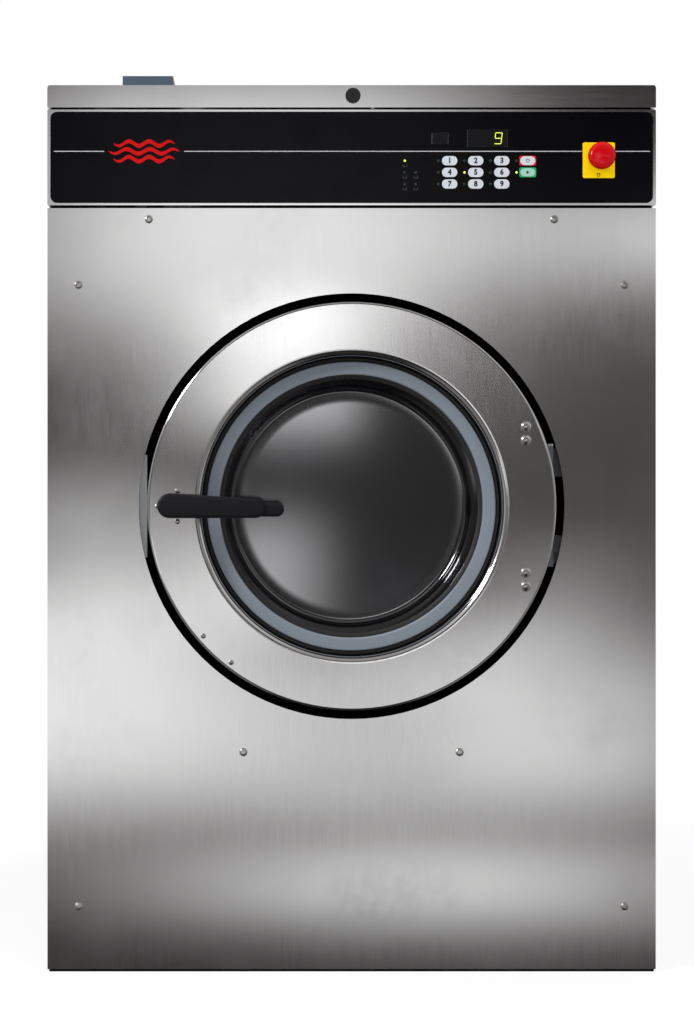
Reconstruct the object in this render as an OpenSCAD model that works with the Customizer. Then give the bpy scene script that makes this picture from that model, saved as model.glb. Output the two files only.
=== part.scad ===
// Front-loading washer-extractor with a round door, a bolted stainless cabinet and a belt drive.
// X is to the right, -Y is the front, +Z is up. The origin is on the floor, amid the anchor holes.

/* [Cabinet] */
// Width of the front panel
cab_w = 900; // [880:1:960]
// Space between the basket shaft's end and the rear panel
rear_space = 29.5; // [15:0.5:120]
// Thickness of the cabinet's sheet metal
sheet = 2; // [1.5:0.1:2.5]
// Height of the front panel's lower edge above the floor
floor_gap = 4; // [1:1:12]
// Height of the front panel
panel_h = 1126; // [1115:1:1200]
// Depth of the folded edges of the front panel and fascia
panel_fold = 22; // [18:1:26]
// Gap between neighbouring panels
seam = 0.3; // [0.1:0.05:0.5]
// Depth of the collar turned in around the door hole, past the sheet
hole_collar = 2; // [1:0.5:3]
// Diameter of the panel screws' heads
screw_head_d = 12; // [9:0.5:14]
// Height of the base frame
base_h = 110; // [106:1:120]
// Wall of the base frame's channels
base_t = 6; // [4:0.5:10]
// Width of the base frame's flanges
base_flange = 80; // [70:1:95]
// Distance of the anchor holes from the cabinet's faces
anchor_inset = 50; // [45:1:60]
// Diameter of the anchor holes
anchor_d = 18; // [12:1:22]

/* [Top and fascia] */
// Height of the control fascia
fascia_h = 141.6; // [130:0.1:160]
// Gap between the front panel and the fascia
fascia_gap = 4; // [2:0.5:8]
// How far the fascia and the lids stand past the front panel at each side
cap_over = 0; // [0:0.5:3]
// Radius of the shoulders of the lid and the top panel
cover_r = 4; // [3:0.5:8]
// Height of the fascia's raised rim in front of the panel's face
fascia_rim = 1.5; // [1.3:0.1:2.5]
// Width of the fascia's rim beside the gloss overlay
overlay_side = 4.25; // [2:0.25:12]
// Width of the fascia's rim above and below the gloss overlay
overlay_edge = 3.2; // [2:0.1:6]
// Corner radius of the gloss overlay
overlay_r = 10; // [3:0.5:20]
// Thickness of the gloss overlay
overlay_t = 1.3; // [0.6:0.1:1.3]
// Gap between the fascia and the lid's skirt
lid_gap = 3; // [2:0.5:5]
// Height of the lid's skirt
lid_skirt = 33; // [30:0.5:45]
// Depth of the service lid
lid_d = 202; // [180:1:212]
// Diameter of the lid lock's face
lock_d = 22.3; // [18:0.1:26]
// Distance of the lid lock from the middle
lock_x = 2; // [-40:1:40]

/* [Controls] */
// Width of a number key
key_w = 22.5; // [18:0.5:26]
// Height of a number key
key_h = 13.6; // [11:0.1:15]
// Height of a key above the overlay
key_proud = 1; // [0.8:0.1:2]
// Travel of a key
key_travel = 0.6; // [0.3:0.1:0.8]
// Distance between key columns
key_dx = 38.55; // [36:0.05:42]
// Distance between key rows
key_dz = 17.2; // [16:0.1:20]
// Distance of the first key column from the overlay's right end
key_inset = 300.85; // [296:0.05:306]
// Middle of the lowest key row above the fascia's lower edge
key_z = 31.4; // [26:0.1:36]
// Diameter of a lamp lens
lamp_d = 3.4; // [2:0.1:4]
// Width of the display window
display_w = 58.6; // [40:0.1:64]
// Height of the display window
display_h = 25; // [18:0.1:26]
// Width of the emergency stop's plate
estop_plate_w = 47.3; // [42:0.1:56]
// Height of the emergency stop's plate
estop_plate_h = 52.5; // [44:0.1:60]
// Diameter of the emergency stop's mushroom head
estop_d = 40; // [34:0.5:44]
// Height of the emergency stop's face above the overlay
estop_proud = 34.5; // [34:0.5:44]
// Distance of the emergency stop from the overlay's right end
estop_inset = 80.45; // [77:0.05:84]
// Travel of the emergency stop
estop_travel = 5; // [3:0.5:6]

/* [Supply dispenser] */
// Width of the dispenser's box
disp_w = 74; // [60:1:80]
// Length of the dispenser's box
disp_l = 340; // [260:1:380]
// Wall of the dispenser's box
disp_t = 3; // [2:0.5:4]
// Number of compartments
disp_cups = 4; // [2:1:5]
// Height of the dispenser's lid above the top
disp_rise = 66; // [60:1:90]
// Depth of the dispenser below the top
disp_drop = 131; // [100:1:150]

/* [Door] */
// Height of the door's middle
door_z = 689; // [685:1:697]
// Radius of the front panel's hole
hole_r = 315; // [314:0.5:318]
// Radius of the door ring
ring_r = 302; // [300:0.5:303]
// Thickness of the door ring's sheet
ring_t = 2; // [1.5:0.1:2.4]
// Height of the door ring's face in front of the panel
ring_proud = 11; // [10.5:0.1:12]
// Radius of the door ring's opening
ring_open_r = 222; // [220:0.5:224]
// Radius of the rounded inner edge of the ring
ring_fillet = 10; // [6:0.5:12]
// Depth of the ring's flange for the gasket, behind the panel's face
ring_flange = 37; // [34:0.5:40]
// Inner radius of the glass gasket
gasket_r = 196; // [195:0.5:198]
// Thickness of the glass
glass_t = 6; // [4:0.5:8]
// Depth of the bowl's bottom behind the panel's face
bowl_depth = 107; // [95:1:108]
// Distance of the hinge pin from the middle
hinge_x = 292; // [291:0.5:293]
// Radius of the hinge pin
hinge_pin_r = 4; // [3:0.1:4.5]
// Radius of the hinge knuckles
knuckle_r = 6; // [5.5:0.1:6.2]
// Radial running clearance of pins and shafts
running = 0.05; // [0.02:0.01:0.09]

/* [Handle and latch] */
// Distance of the handle's pivot from the middle
handle_x = 257; // [255:0.5:260]
// Length of the handle's bar from the pivot
handle_l = 129; // [110:1:135]
// Length of the handle with its tip
handle_tip_l = 157; // [140:1:165]
// Radius of the latch shaft
latch_r = 10; // [8:0.5:11]
// Reach of the latch hook from the pivot
hook_reach = 61; // [55:1:64]

/* [Tub and basket] */
// Inner radius of the tub
tub_r = 400; // [396:1:402]
// Wall of the tub
tub_t = 3; // [2:0.5:4]
// Distance from the panel's face to the tub front
tub_setback = 100; // [98:1:110]
// Gap between the tub front and the basket
basket_gap = 20; // [14:1:30]
// Gap between the shaft's flange and the tub's back
basket_clear = 13; // [6:1:30]
// Inner radius of the tub's door neck
neck_r = 240; // [238:0.5:244]
// Outer radius of the basket
basket_r = 381; // [370:1:385]
// Length of the basket
basket_l = 560; // [500:1:640]
// Wall of the basket
basket_t = 2; // [1.5:0.1:3]
// Radius of the basket's mouth
mouth_r = 228; // [222:1:240]
// Height of the basket's ribs
rib_h = 70; // [50:1:90]
// Number of ribs
rib_n = 3; // [2:1:4]
// Sheet of the basket's ribs
rib_t = 3; // [2:0.5:4]
// Diameter of the basket's holes
perf_d = 9; // [6:0.5:12]
// Rows of holes along the basket
perf_rows = 7; // [4:1:10]
// Number of holes in a row around the basket
perf_n = 16; // [8:2:24]

/* [Drive] */
// Length of the bearing housing
housing_l = 189; // [176:1:230]
// Radius of the basket shaft in the front bearing
shaft_r = 37.5; // [32:0.5:40]
// Radius of the basket shaft in the rear bearing
tail_r = 30; // [24:0.5:31]
// Radius of the basket pulley
pulley_r = 250; // [220:1:260]
// Radius of the motor pulley
motor_pulley_r = 60; // [50:1:70]
// Number of belts
belt_n = 3; // [1:1:3]
// Width of a belt
belt_w = 10; // [8:0.5:10.5]
// Thickness of a belt
belt_t = 8; // [6:0.5:9]
// Radius of the motor
motor_r = 95; // [80:1:95]
// Distance of the motor from the middle
motor_x = 155; // [150:1:170]

/* [Pipes] */
// Outer radius of the drain outlet
drain_r = 38; // [30:0.5:40]
// Length of the drain outlet behind the cabinet
drain_stub = 60; // [40:1:80]
// Radius of a water inlet's thread
inlet_r = 13.2; // [10:0.1:14]
// Length of a water inlet behind the cabinet
inlet_stub = 28; // [22:1:40]
// Outer radius of the vent pipe
vent_r = 25; // [20:0.5:28]
// Outer radius of a fill hose
hose_r = 8.5; // [7:0.5:10]
// Radius of a fill hose's bore
hose_bore = 6; // [4:0.5:6.5]

/* [Hidden] */
$fn = 64;
cut = 1;

// Lengths from the front panel's face to the rear panel's face
flange_t = 12;
tub_back_t = 8;
pulley_gap = 6;
shaft_end = 20;
belt_pitch = belt_w + 2.5;
pulley_w = belt_n * belt_pitch + 3;
tub_l = basket_gap + basket_l + flange_t + basket_clear + tub_back_t;
cab_d = tub_setback + tub_l + housing_l + pulley_gap + pulley_w + shaft_end + rear_space + sheet;

// Levels of the cabinet
yf = -cab_d / 2;
yr = cab_d / 2;
half_w = cab_w / 2;
cap_w = half_w + cap_over;
panel_top = floor_gap + panel_h;
fascia_z0 = panel_top + fascia_gap;
fascia_z1 = fascia_z0 + fascia_h;
lid_z0 = fascia_z1 + lid_gap;
top_z = lid_z0 + lid_skirt;
inner_w = half_w - sheet - seam;
inner_y0 = yf + sheet + seam;
inner_y1 = yr - sheet - seam;
frame_y = yf + panel_fold + seam;

// Posts and rails of the front frame
post_w = 60;
post_d = 50;
latch_post_x = -handle_x - 121;
hinge_post_x = hinge_x + 26;
rail_h = 50;
low_rail_z = 325;
tube_t = 5;
lip_w = 25;

// Front panel screws, from the middle or from the panel's edges
top_screw = [300, 16.5];
side_screw = [46, 113.5];
low_screw_x = 160;
foot_screw_z = floor_gap + 93;
screw_r = 3;
screw_play = 0.25;

// Lids
lid_back = yf - sheet + lid_d;
lid_knuckle_r = 3.5;
lid_pin_r = 1.5;
lid_axis = [lid_back + seam / 2, top_z + lid_knuckle_r + seam];
lid_hinge_x = 200;
lock_z = lid_z0 + 17.4;
lock_barrel_r = 9;
lock_plug_r = 6;
lock_cam = [24, 6];
cam_y = yf + 16;
cam_t = 2;
keeper_x = 30;

// Controls
overlay_y = yf - overlay_t;
board_y = yf + 10;
board_t = 1.6;
play = 0.25;
switch_h = 2.4;
overlay_right = cap_w - overlay_side;
overlay_h = fascia_h - 2 * overlay_edge;
key_x = overlay_right - key_inset;
key_r = key_h / 2 - 0.3;
action_x = key_x + 115.4;
action_size = [24.8, 14.4];
action_r = 2.5;
lamp_dx = 16.6;
status_x = [key_x - 66.2, key_x - 49.9];
start_lamp_x = action_x - 16.4;
display_at = [key_x + 55.8, fascia_z0 + 99.2];
sensor_at = [key_x - 14.1, fascia_z0 + 99.2];
board_x = [key_x - 78.9, key_x + 137.1];
sensor_size = [23.7, 16.3];
window_rim = 2;
estop_at = [overlay_right - estop_inset, fascia_z0 + 68.8];
estop_plate_at = estop_at - [0, 2.4];
estop_plate_t = 1.5;
estop_collar = [14.5, 5.5];
estop_barrel_r = 11;
estop_stem_r = 5;
estop_face = overlay_y - estop_proud;
estop_head_t = 20;

// Supply dispenser
disp_x = -317;
disp_y = lid_back + 17;
disp_lid_t = 3;
disp_top = top_z + disp_rise - disp_lid_t - seam;
disp_axis = [disp_y + disp_l + 5, disp_top - 1.3];
disp_knuckle = 22;
supply_at = [disp_x, disp_y + disp_l / 2];
supply_r = 15;

// Door, as depths behind the front panel's face
ring_face = -ring_proud;
ring_back = ring_face + ring_t;
ring_lip = ring_face + 8;
ring_roll = 4;
hinge_depth = ring_back + 0.5 + knuckle_r;
hinge_half = 42;
bracket_z = [43, 89];
bracket_depth = 12;
lip_gap = 98;
hinge_bolt = [256.3, 97.5, 117.5];
hinge_bolt_r = 5;
plate_t = 5;
plate_x = 238;
gasket_w = 19;
gasket_front = 12;
gasket_edge = 2;
gasket_back = 50;
glass_front = 23;
glass_rim_r = gasket_r + 8;
latch_screws = [[0, 22.6], [0, -22.6], [-29.4, 0]];
stay_screws = [[-219, -191], [-178, -230]];
small_screw_r = 2;
shaft_front = -28;
hook_depth = 10.3;
hook_t = 6;
catch_depth = 6;
catch_t = 4;
catch_x = -303;
catch_w = 42;
catch_half = 76;

// Tub, basket and drive along Y
tub_y0 = yf + tub_setback;
tub_y1 = tub_y0 + tub_l;
tub_rim = 12;
basket_y0 = tub_y0 + basket_gap;
basket_y1 = basket_y0 + basket_l;
basket_back_t = 6;
shaft_flange_r = 90;
carrier_y = tub_y1 + 15;
carrier_r = 85;
carrier_t = 12;
carrier_half = 160;
rear_post_x = 300;
rear_post_w = 60;
rear_tie = [251, 311];
housing_flange_r = 150;
housing_end = tub_y1 + housing_l;
bearing_1 = [tub_y1 + 13, 36, 65];
bearing_2 = [housing_end - 42, 32, 55];
seal_r = 66;
pulley_y = housing_end + pulley_gap;
belt_play = 0.5;
belt_cover = [2 * (pulley_r + 45), 2 * (pulley_r + 35)];
belt_cover_z = door_z - 15;
motor_z = base_h + motor_r + 5;
motor_l = 265;
motor_y = [pulley_y - 13 - motor_l, pulley_y - 13];
motor_shaft_r = 14;
rotor_reach = 90;
beam_y = [tub_y1 - 103, carrier_y];
beam_w = 70;

// Pipes
drain_at = [-60, tub_y1 - 153];
drain_z = base_h + 80;
valve_top = drain_z + 55;
vent_at = [-120, tub_y1 - 113];
vent_z = fascia_z1 - 95.6;
elbow_r = 50;
vent_stub = 45;
tail_step = 1.5;
hose_elbow = 40;
hose_run = 140;
spigot_r = hose_bore - 0.05;
inlet_x = [20, 80, 140];
inlet_z = fascia_z1 - 50.6;
inlet_drop_y = [0, tub_y1 - 103, tub_y1 - 63];
conduit_boss = 12;
box_at = [200, 420, belt_cover_z + belt_cover[1] / 2 + conduit_boss + 4, fascia_z1 - 85.6];
box_d = 45;
conduit_r = 14.2;

function spigot_z(x, r) = door_z + sqrt(pow(tub_r + tub_t, 2) - pow(abs(x) + r, 2));
function polar(r, a) = [r * cos(a), r * sin(a)];
function arc(c, r, a0, a1, n = 8) = [for (i = [0 : n]) c + polar(r, a0 + (a1 - a0) * i / n)];

module block(a, b) translate(a) cube(b - a);

module both_sides() {
  children();
  mirror([1, 0, 0]) children();
}

module slab(y0, y1) translate([0, y1, 0]) rotate([90, 0, 0]) linear_extrude(y1 - y0) children();

module rod_y(at, y0, y1, r, sides = 64)
  translate([at[0], y0, at[1]]) rotate([-90, 0, 0]) cylinder(r = r, h = y1 - y0, $fn = sides);

module rod_z(at, z0, z1, r) translate([at[0], at[1], z0]) cylinder(r = r, h = z1 - z0);

module rounded_rect(w, h, r) {
  square([w - 2 * r, h], center = true);
  square([w, h - 2 * r], center = true);
  for (x = [-1, 1], z = [-1, 1]) translate([x * (w / 2 - r), z * (h / 2 - r)]) circle(r);
}

// Places a shape turned about the door's axis, with its height as depth behind the panel's face
module at_door() translate([0, yf, door_z]) rotate([-90, 0, 0]) children();

module hoop(r0, r1, d0, d1) at_door() translate([0, 0, d0]) difference() {
  cylinder(r = r1, h = d1 - d0);
  translate([0, 0, -cut]) cylinder(r = r0, h = d1 - d0 + 2 * cut);
}

// A channel ring with beams for the drive, anchored through its lower flange
module base_frame() color("dimgray") difference() {
  union() {
    difference() {
      block([-inner_w, inner_y0, 0], [inner_w, inner_y1, base_h]);
      block([-inner_w + base_t, inner_y0 + base_t, base_t],
        [inner_w - base_t, inner_y1 - base_t, base_h - base_t]);
      block([-inner_w + base_flange, inner_y0 + base_flange, -cut],
        [inner_w - base_flange, inner_y1 - base_flange, base_h + cut]);
    }
    for (y = beam_y) difference() {
      block([-inner_w + base_t, y, 0], [inner_w - base_t, y + beam_w, base_h]);
      block([-inner_w, y + base_t, base_t], [inner_w, y + beam_w - base_t, base_h - base_t]);
    }
  }
  for (x = [-1, 1], y = [-1, 1])
    rod_z([x * (half_w - anchor_inset), y * (yr - anchor_inset)], -cut, base_t + cut, anchor_d / 2);
  for (x = [-1, 1])
    rod_y([x * (half_w - side_screw[0]), foot_screw_z], yf, inner_y0 + base_t + cut, screw_r);
}

// Two box posts and a plate that carry the bearing housing
module rear_frame() color("dimgray") difference() {
  union() {
    both_sides() difference() {
      block([rear_post_x, carrier_y, base_h],
        [rear_post_x + rear_post_w, carrier_y + rear_post_w, door_z + rear_tie[1]]);
      block([rear_post_x + tube_t, carrier_y + tube_t, base_h - cut],
        [rear_post_x + rear_post_w - tube_t, carrier_y + rear_post_w - tube_t, door_z + rear_tie[1] + cut]);
    }
    block([-rear_post_x, carrier_y, door_z - carrier_half],
      [rear_post_x, carrier_y + carrier_t, door_z + carrier_half]);
    block([-rear_post_x, carrier_y, door_z + rear_tie[0]],
      [rear_post_x, carrier_y + tube_t, door_z + rear_tie[1]]);
  }
  rod_y([0, door_z], carrier_y - cut, carrier_y + carrier_t + cut, carrier_r);
}

// Corner posts, door posts and rails behind the front panel, with stand-offs for its screws
module front_frame() color("silver") difference() {
  union() {
    both_sides() block([inner_w - post_w, frame_y, base_h],
      [inner_w, frame_y + post_d, top_z - cover_r - seam]);
    for (x = [latch_post_x, hinge_post_x])
      block([x, frame_y, base_h], [x + post_w, frame_y + post_d, panel_top - 5]);
    for (z = [low_rail_z - rail_h / 2, panel_top - rail_h - 5])
      block([-inner_w, frame_y, z], [inner_w, frame_y + post_d, z + rail_h]);
    both_sides() for (s = frame_screws()) rod_y(s, yf + sheet, frame_y + cut, 8);
  }
  both_sides() for (s = frame_screws()) rod_y(s, yf, frame_y + 20, screw_r);
  both_sides() block([inner_w - post_w + tube_t, frame_y + tube_t, base_h - cut],
    [inner_w - tube_t, frame_y + post_d - tube_t, top_z]);
  for (x = [latch_post_x, hinge_post_x])
    block([x + tube_t, frame_y + tube_t, base_h - cut],
      [x + post_w - tube_t, frame_y + post_d - tube_t, panel_top]);
  for (z = [low_rail_z - rail_h / 2, panel_top - rail_h - 5])
    block([latch_post_x + post_w + tube_t, frame_y + tube_t, z + tube_t],
      [hinge_post_x - tube_t, frame_y + post_d + cut, z + rail_h - tube_t]);
}

function frame_screws() = [[top_screw[0], panel_top - top_screw[1]],
  [half_w - side_screw[0], panel_top - side_screw[1]], [low_screw_x, low_rail_z]];
function panel_holes() = concat(frame_screws(), [[half_w - side_screw[0], foot_screw_z]]);

module front_panel() color("gainsboro") {
  difference() {
    union() {
      block([-half_w, yf, floor_gap], [half_w, yf + sheet, panel_top]);
      both_sides()
        block([half_w - sheet, yf, floor_gap], [half_w, yf + panel_fold, panel_top]);
      block([-half_w, yf, panel_top - sheet], [half_w, yf + panel_fold, panel_top]);
      hoop(hole_r - cut, hole_r + sheet, 0, sheet + hole_collar);
    }
    rod_y([0, door_z], yf - cut, yf + panel_fold, hole_r);
    both_sides() for (s = panel_holes()) rod_y(s, yf - cut, yf + sheet + cut, screw_r + screw_play);
  }
}

module panel_screws() color("silver") both_sides() {
  for (s = frame_screws()) panel_screw(s, frame_y + 15);
  panel_screw([half_w - side_screw[0], foot_screw_z], inner_y0 + base_t);
}

module panel_screw(at, end) {
  rod_y(at, yf - 3, yf, screw_head_d / 2);
  rod_y(at, yf - 1, end, screw_r);
}

module side_panels() color("silver") both_sides() {
  block([half_w - sheet, frame_y, floor_gap], [half_w, yr, fascia_z1]);
  block([half_w - lip_w, frame_y + post_d + seam, fascia_z1 - sheet], [half_w, inner_y1, fascia_z1]);
  block([half_w - lip_w, frame_y + post_d + seam, fascia_z1 - sheet],
    [half_w - lip_w + sheet, inner_y1, top_z - sheet - seam]);
}

// Flat sheet with a raised belt cover, louvres and the holes for the pipes
module rear_panel() color("silver") difference() {
  union() {
    block([-inner_w, yr - sheet, floor_gap], [inner_w, yr, fascia_z1]);
    slab(yr - sheet, yr + 3) translate([0, belt_cover_z]) rounded_rect(belt_cover[0], belt_cover[1], 24);
  }
  rod_y([drain_at[0], drain_z], yr - 2 * sheet, yr + 5, drain_r + 4);
  rod_y([vent_at[0], vent_z], yr - 2 * sheet, yr + 5, vent_r + 2);
  for (x = inlet_x) rod_y([x, inlet_z], yr - 2 * sheet, yr + 5, inlet_r + 1);
  for (i = [0 : 9]) slab(yr - 2 * sheet, yr + 5)
    translate([-330, 1010 + 16 * i]) rounded_rect(140, 6, 2.9);
  rod_y([box_at[0] + 60, box_at[2] + 60], yr - 2 * sheet, yr + 5, 20);
}

// The fixed half of one lid hinge is two knuckles with their pin, the other half is the middle knuckle
module lid_hinge_part(x, x0, x1, side, pin) translate([x, 0, 0]) {
  for (m = x0 > 0 ? [0, 1] : [0]) mirror([m, 0, 0]) difference() {
    union() {
      translate([x0, lid_axis[0], lid_axis[1]]) rotate([0, 90, 0])
        cylinder(r = lid_knuckle_r, h = x1 - x0);
      block([x0, lid_axis[0] + min(0, side * 20), top_z],
        [x1, lid_axis[0] + max(0, side * 20), top_z + 1.5]);
      block([x0, lid_axis[0] + min(0, side * 3), top_z],
        [x1, lid_axis[0] + max(0, side * 3), lid_axis[1]]);
    }
    block([x0 - cut, lid_axis[0] - seam / 2 * side - (side > 0 ? 5 : 0), top_z - cut],
      [x1 + cut, lid_axis[0] - seam / 2 * side + (side > 0 ? 0 : 5), top_z + seam]);
    if (pin == 0) translate([x0 - cut, lid_axis[0], lid_axis[1]]) rotate([0, 90, 0])
      cylinder(r = lid_pin_r + running, h = x1 - x0 + 2 * cut);
  }
  if (pin > 0) translate([-x1, lid_axis[0], lid_axis[1]]) rotate([0, 90, 0])
    cylinder(r = lid_pin_r, h = 2 * x1);
}

// The end face of a cover whose shoulders are rounded, drawn inset from its outer face
module cover_face(inset) {
  w = cap_w - inset;
  r = cover_r - inset;
  translate([-w, lid_z0 - inset]) square([2 * w, top_z - r - lid_z0]);
  translate([r - w, lid_z0 - inset]) square([2 * (w - r), top_z - lid_z0]);
  for (x = [-1, 1]) translate([x * (w - r), top_z - inset - r]) circle(r);
}

module cover_sheet(y0, y1) slab(y0, y1) difference() {
  cover_face(0);
  cover_face(sheet);
}

module top_panel() color("silver") {
  difference() {
    union() {
      cover_sheet(lid_back + seam, yr + cap_over);
      slab(yr + cap_over - sheet, yr + cap_over) cover_face(0);
    }
    block([disp_x - disp_w / 2 - seam, disp_y - seam, top_z - 2 * sheet],
      [disp_x + disp_w / 2 + seam, disp_y + disp_l + seam, top_z + cut]);
  }
  for (s = [-1, 1]) lid_hinge_part(s * lid_hinge_x, 15 + seam, 30, 1, 1);
}

module service_lid() color("gainsboro") {
  difference() {
    union() {
      cover_sheet(yf - sheet, lid_back);
      slab(yf - sheet, yf) cover_face(0);
      block([-cap_w, yf - sheet, lid_z0], [cap_w, yf + 8, lid_z0 + sheet]);
    }
    rod_y([lock_x, lock_z], yf - sheet - cut, yf + cut, lock_barrel_r + play);
  }
  for (s = [-1, 1]) lid_hinge_part(s * lid_hinge_x, -15, 15, -1, 0);
}

module lid_lock_body() color("silver") difference() {
  union() {
    rod_y([lock_x, lock_z], yf - sheet - 2.5, yf - sheet, lock_d / 2);
    rod_y([lock_x, lock_z], yf - sheet - 1, cam_y - seam, lock_barrel_r);
    rod_y([lock_x, lock_z], yf, yf + 4, 13, 6);
  }
  rod_y([lock_x, lock_z], yf - sheet - 3, cam_y, lock_plug_r + running);
}

module lid_lock_plug() color("black") difference() {
  union() {
    rod_y([lock_x, lock_z], yf - sheet - 2.6, cam_y + cam_t, lock_plug_r);
    block([lock_x - lock_cam[1], cam_y, lock_z - lock_cam[1]],
      [lock_x + lock_cam[0], cam_y + cam_t, lock_z + lock_cam[1]]);
  }
  block([lock_x - 0.7, yf - sheet - 3, lock_z - 3.5], [lock_x + 0.7, yf - sheet, lock_z + 3.5]);
}

function row_z(i) = fascia_z0 + key_z + i * key_dz;
function key_at(n) = [key_x + ((n - 1) % 3) * key_dx, row_z(2 - floor((n - 1) / 3))];
function lamps() = concat([for (n = [1 : 9]) key_at(n) - [lamp_dx, 0]],
  [for (i = [0 : 2]) [status_x[0], row_z(i)]], [for (i = [0 : 1]) [status_x[1], row_z(i)]],
  [[start_lamp_x, row_z(1)], [start_lamp_x, row_z(2)]]);

// The openings that the keys, lamps, windows and the emergency stop pass through
module control_holes(window_inset) {
  for (n = [1 : 9]) translate(key_at(n)) key_outline(key_w, key_h, key_r, play);
  for (i = [1, 2]) translate([action_x, row_z(i)])
    key_outline(action_size[0], action_size[1], action_r, play);
  for (p = lamps()) translate(p) circle(lamp_d / 2 + 0.1);
  translate(display_at)
    square([display_w - 2 * window_inset, display_h - 2 * window_inset], center = true);
  translate(sensor_at)
    square([sensor_size[0] - 2 * window_inset, sensor_size[1] - 2 * window_inset], center = true);
  translate(estop_at) circle(estop_barrel_r + play);
}

module key_outline(w, h, r, grow) rounded_rect(w + 2 * grow, h + 2 * grow, r + grow);

module control_fascia() color("silver") {
  difference() {
    union() {
      slab(yf - fascia_rim, yf + sheet) translate([0, fascia_z0 + fascia_h / 2])
        rounded_rect(2 * cap_w, fascia_h, 2);
      difference() {
        block([-cap_w + 1, yf, fascia_z0], [cap_w - 1, yf + panel_fold, fascia_z1]);
        block([-cap_w + 1 + sheet, yf - cut, fascia_z0 + sheet],
          [cap_w - 1 - sheet, yf + panel_fold + cut, fascia_z1 - sheet]);
        block([lock_x - 10, yf + 12, fascia_z1 - 2 * sheet],
          [lock_x + 27, yf + panel_fold + cut, fascia_z1 + cut]);
      }
      block([lock_x + 28, yf + 12, fascia_z1 - sheet],
        [lock_x + 32, yf + panel_fold, lock_z + lock_cam[1] + 3]);
      block([lock_x + 14, yf + 12, lock_z + lock_cam[1] + 1],
        [lock_x + 32, yf + panel_fold, lock_z + lock_cam[1] + 3]);
    }
    slab(yf - 2 * fascia_rim, yf) translate([0, fascia_z0 + fascia_h / 2])
      rounded_rect(2 * overlay_right, overlay_h, overlay_r);
    slab(yf - cut, yf + sheet + cut) control_holes(window_rim);
  }
}

module control_overlay() color("black") slab(overlay_y, yf) difference() {
  translate([0, fascia_z0 + fascia_h / 2])
    rounded_rect(2 * (overlay_right - play), overlay_h - 2 * play, overlay_r);
  control_holes(-play);
}

module display_window() color("darkslategray") slab(overlay_y, yf) {
  translate(display_at) square([display_w, display_h], center = true);
  translate(sensor_at) square(sensor_size, center = true);
}

// Circuit board on four stand-offs, with a switch behind each key, the lamps and the digit block
module control_board() color("darkgreen") {
  block([board_x[0], board_y, fascia_z0 + 14], [board_x[1], board_y + board_t, fascia_z1 - 12]);
  for (x = board_x + [8, -8], z = [fascia_z0 + 20, fascia_z1 - 18]) rod_y([x, z], yf + sheet, board_y, 3);
  for (n = [1 : 9]) key_switch(key_at(n));
  for (i = [1, 2]) key_switch([action_x, row_z(i)]);
  for (p = lamps()) rod_y(p, overlay_y - 0.3, board_y, lamp_d / 2);
  slab(yf + seam, board_y) translate(display_at) square([50, 18], center = true);
}

module key_switch(at) slab(board_y - switch_h, board_y) translate(at) square(6, center = true);

// A key cap is held behind the fascia by its flange, and its stem reaches to its switch
module key_cap(at, w, h, r) {
  slab(overlay_y - key_proud, yf + sheet) translate(at) key_outline(w, h, r, 0);
  slab(yf + sheet, yf + sheet + 1.5) translate(at) key_outline(w, h, r, 1);
  rod_y(at, yf + sheet, board_y - switch_h - key_travel - 0.1, 2.5);
}

module action_key(row) key_cap([action_x, row_z(row)], action_size[0], action_size[1], action_r);

module number_key(n) color("white") key_cap(key_at(n), key_w, key_h, key_r);
module stop_key() color("red") action_key(2);
module start_key() color("green") action_key(1);

module estop_plate() color("gold") slab(overlay_y - estop_plate_t, overlay_y) difference() {
  translate(estop_plate_at) rounded_rect(estop_plate_w, estop_plate_h, 2.5);
  translate(estop_at) circle(estop_barrel_r + play);
}

module estop_housing() color("dimgray") difference() {
  union() {
    rod_y(estop_at, overlay_y - estop_plate_t - estop_collar[1], overlay_y - estop_plate_t,
      estop_collar[0]);
    rod_y(estop_at, overlay_y - estop_plate_t - 1, yf + 36, estop_barrel_r);
    rod_y(estop_at, yf + sheet, yf + sheet + 5, 17, 6);
    slab(yf + sheet + 5, yf + 52) translate(estop_at) square(34, center = true);
  }
  rod_y(estop_at, overlay_y - 20, yf + 45, estop_stem_r + running);
}

module estop_stem() color("silver") {
  rod_y(estop_at, estop_face + 12, yf + 38, estop_stem_r);
  rod_y(estop_at, estop_face + estop_head_t + 0.1, estop_face + estop_head_t + 1, 6.5);
}

module estop_button() color("red") difference() {
  union() {
    rod_y(estop_at, estop_face + 8, estop_face + estop_head_t - 6, estop_d / 2);
    rod_y(estop_at, estop_face + 8, estop_face + estop_head_t, estop_collar[0]);
    estop_dome(8);
  }
  rod_y(estop_at, estop_face + 12 - seam, estop_face + estop_head_t + cut, estop_stem_r + running);
}

module estop_dome(h) intersection() {
  translate([estop_at[0], estop_face + (pow(estop_d / 2, 2) + h * h) / (2 * h), estop_at[1]])
    sphere(r = (pow(estop_d / 2, 2) + h * h) / (2 * h));
  rod_y(estop_at, estop_face - cut, estop_face + h, estop_d / 2);
}

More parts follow.
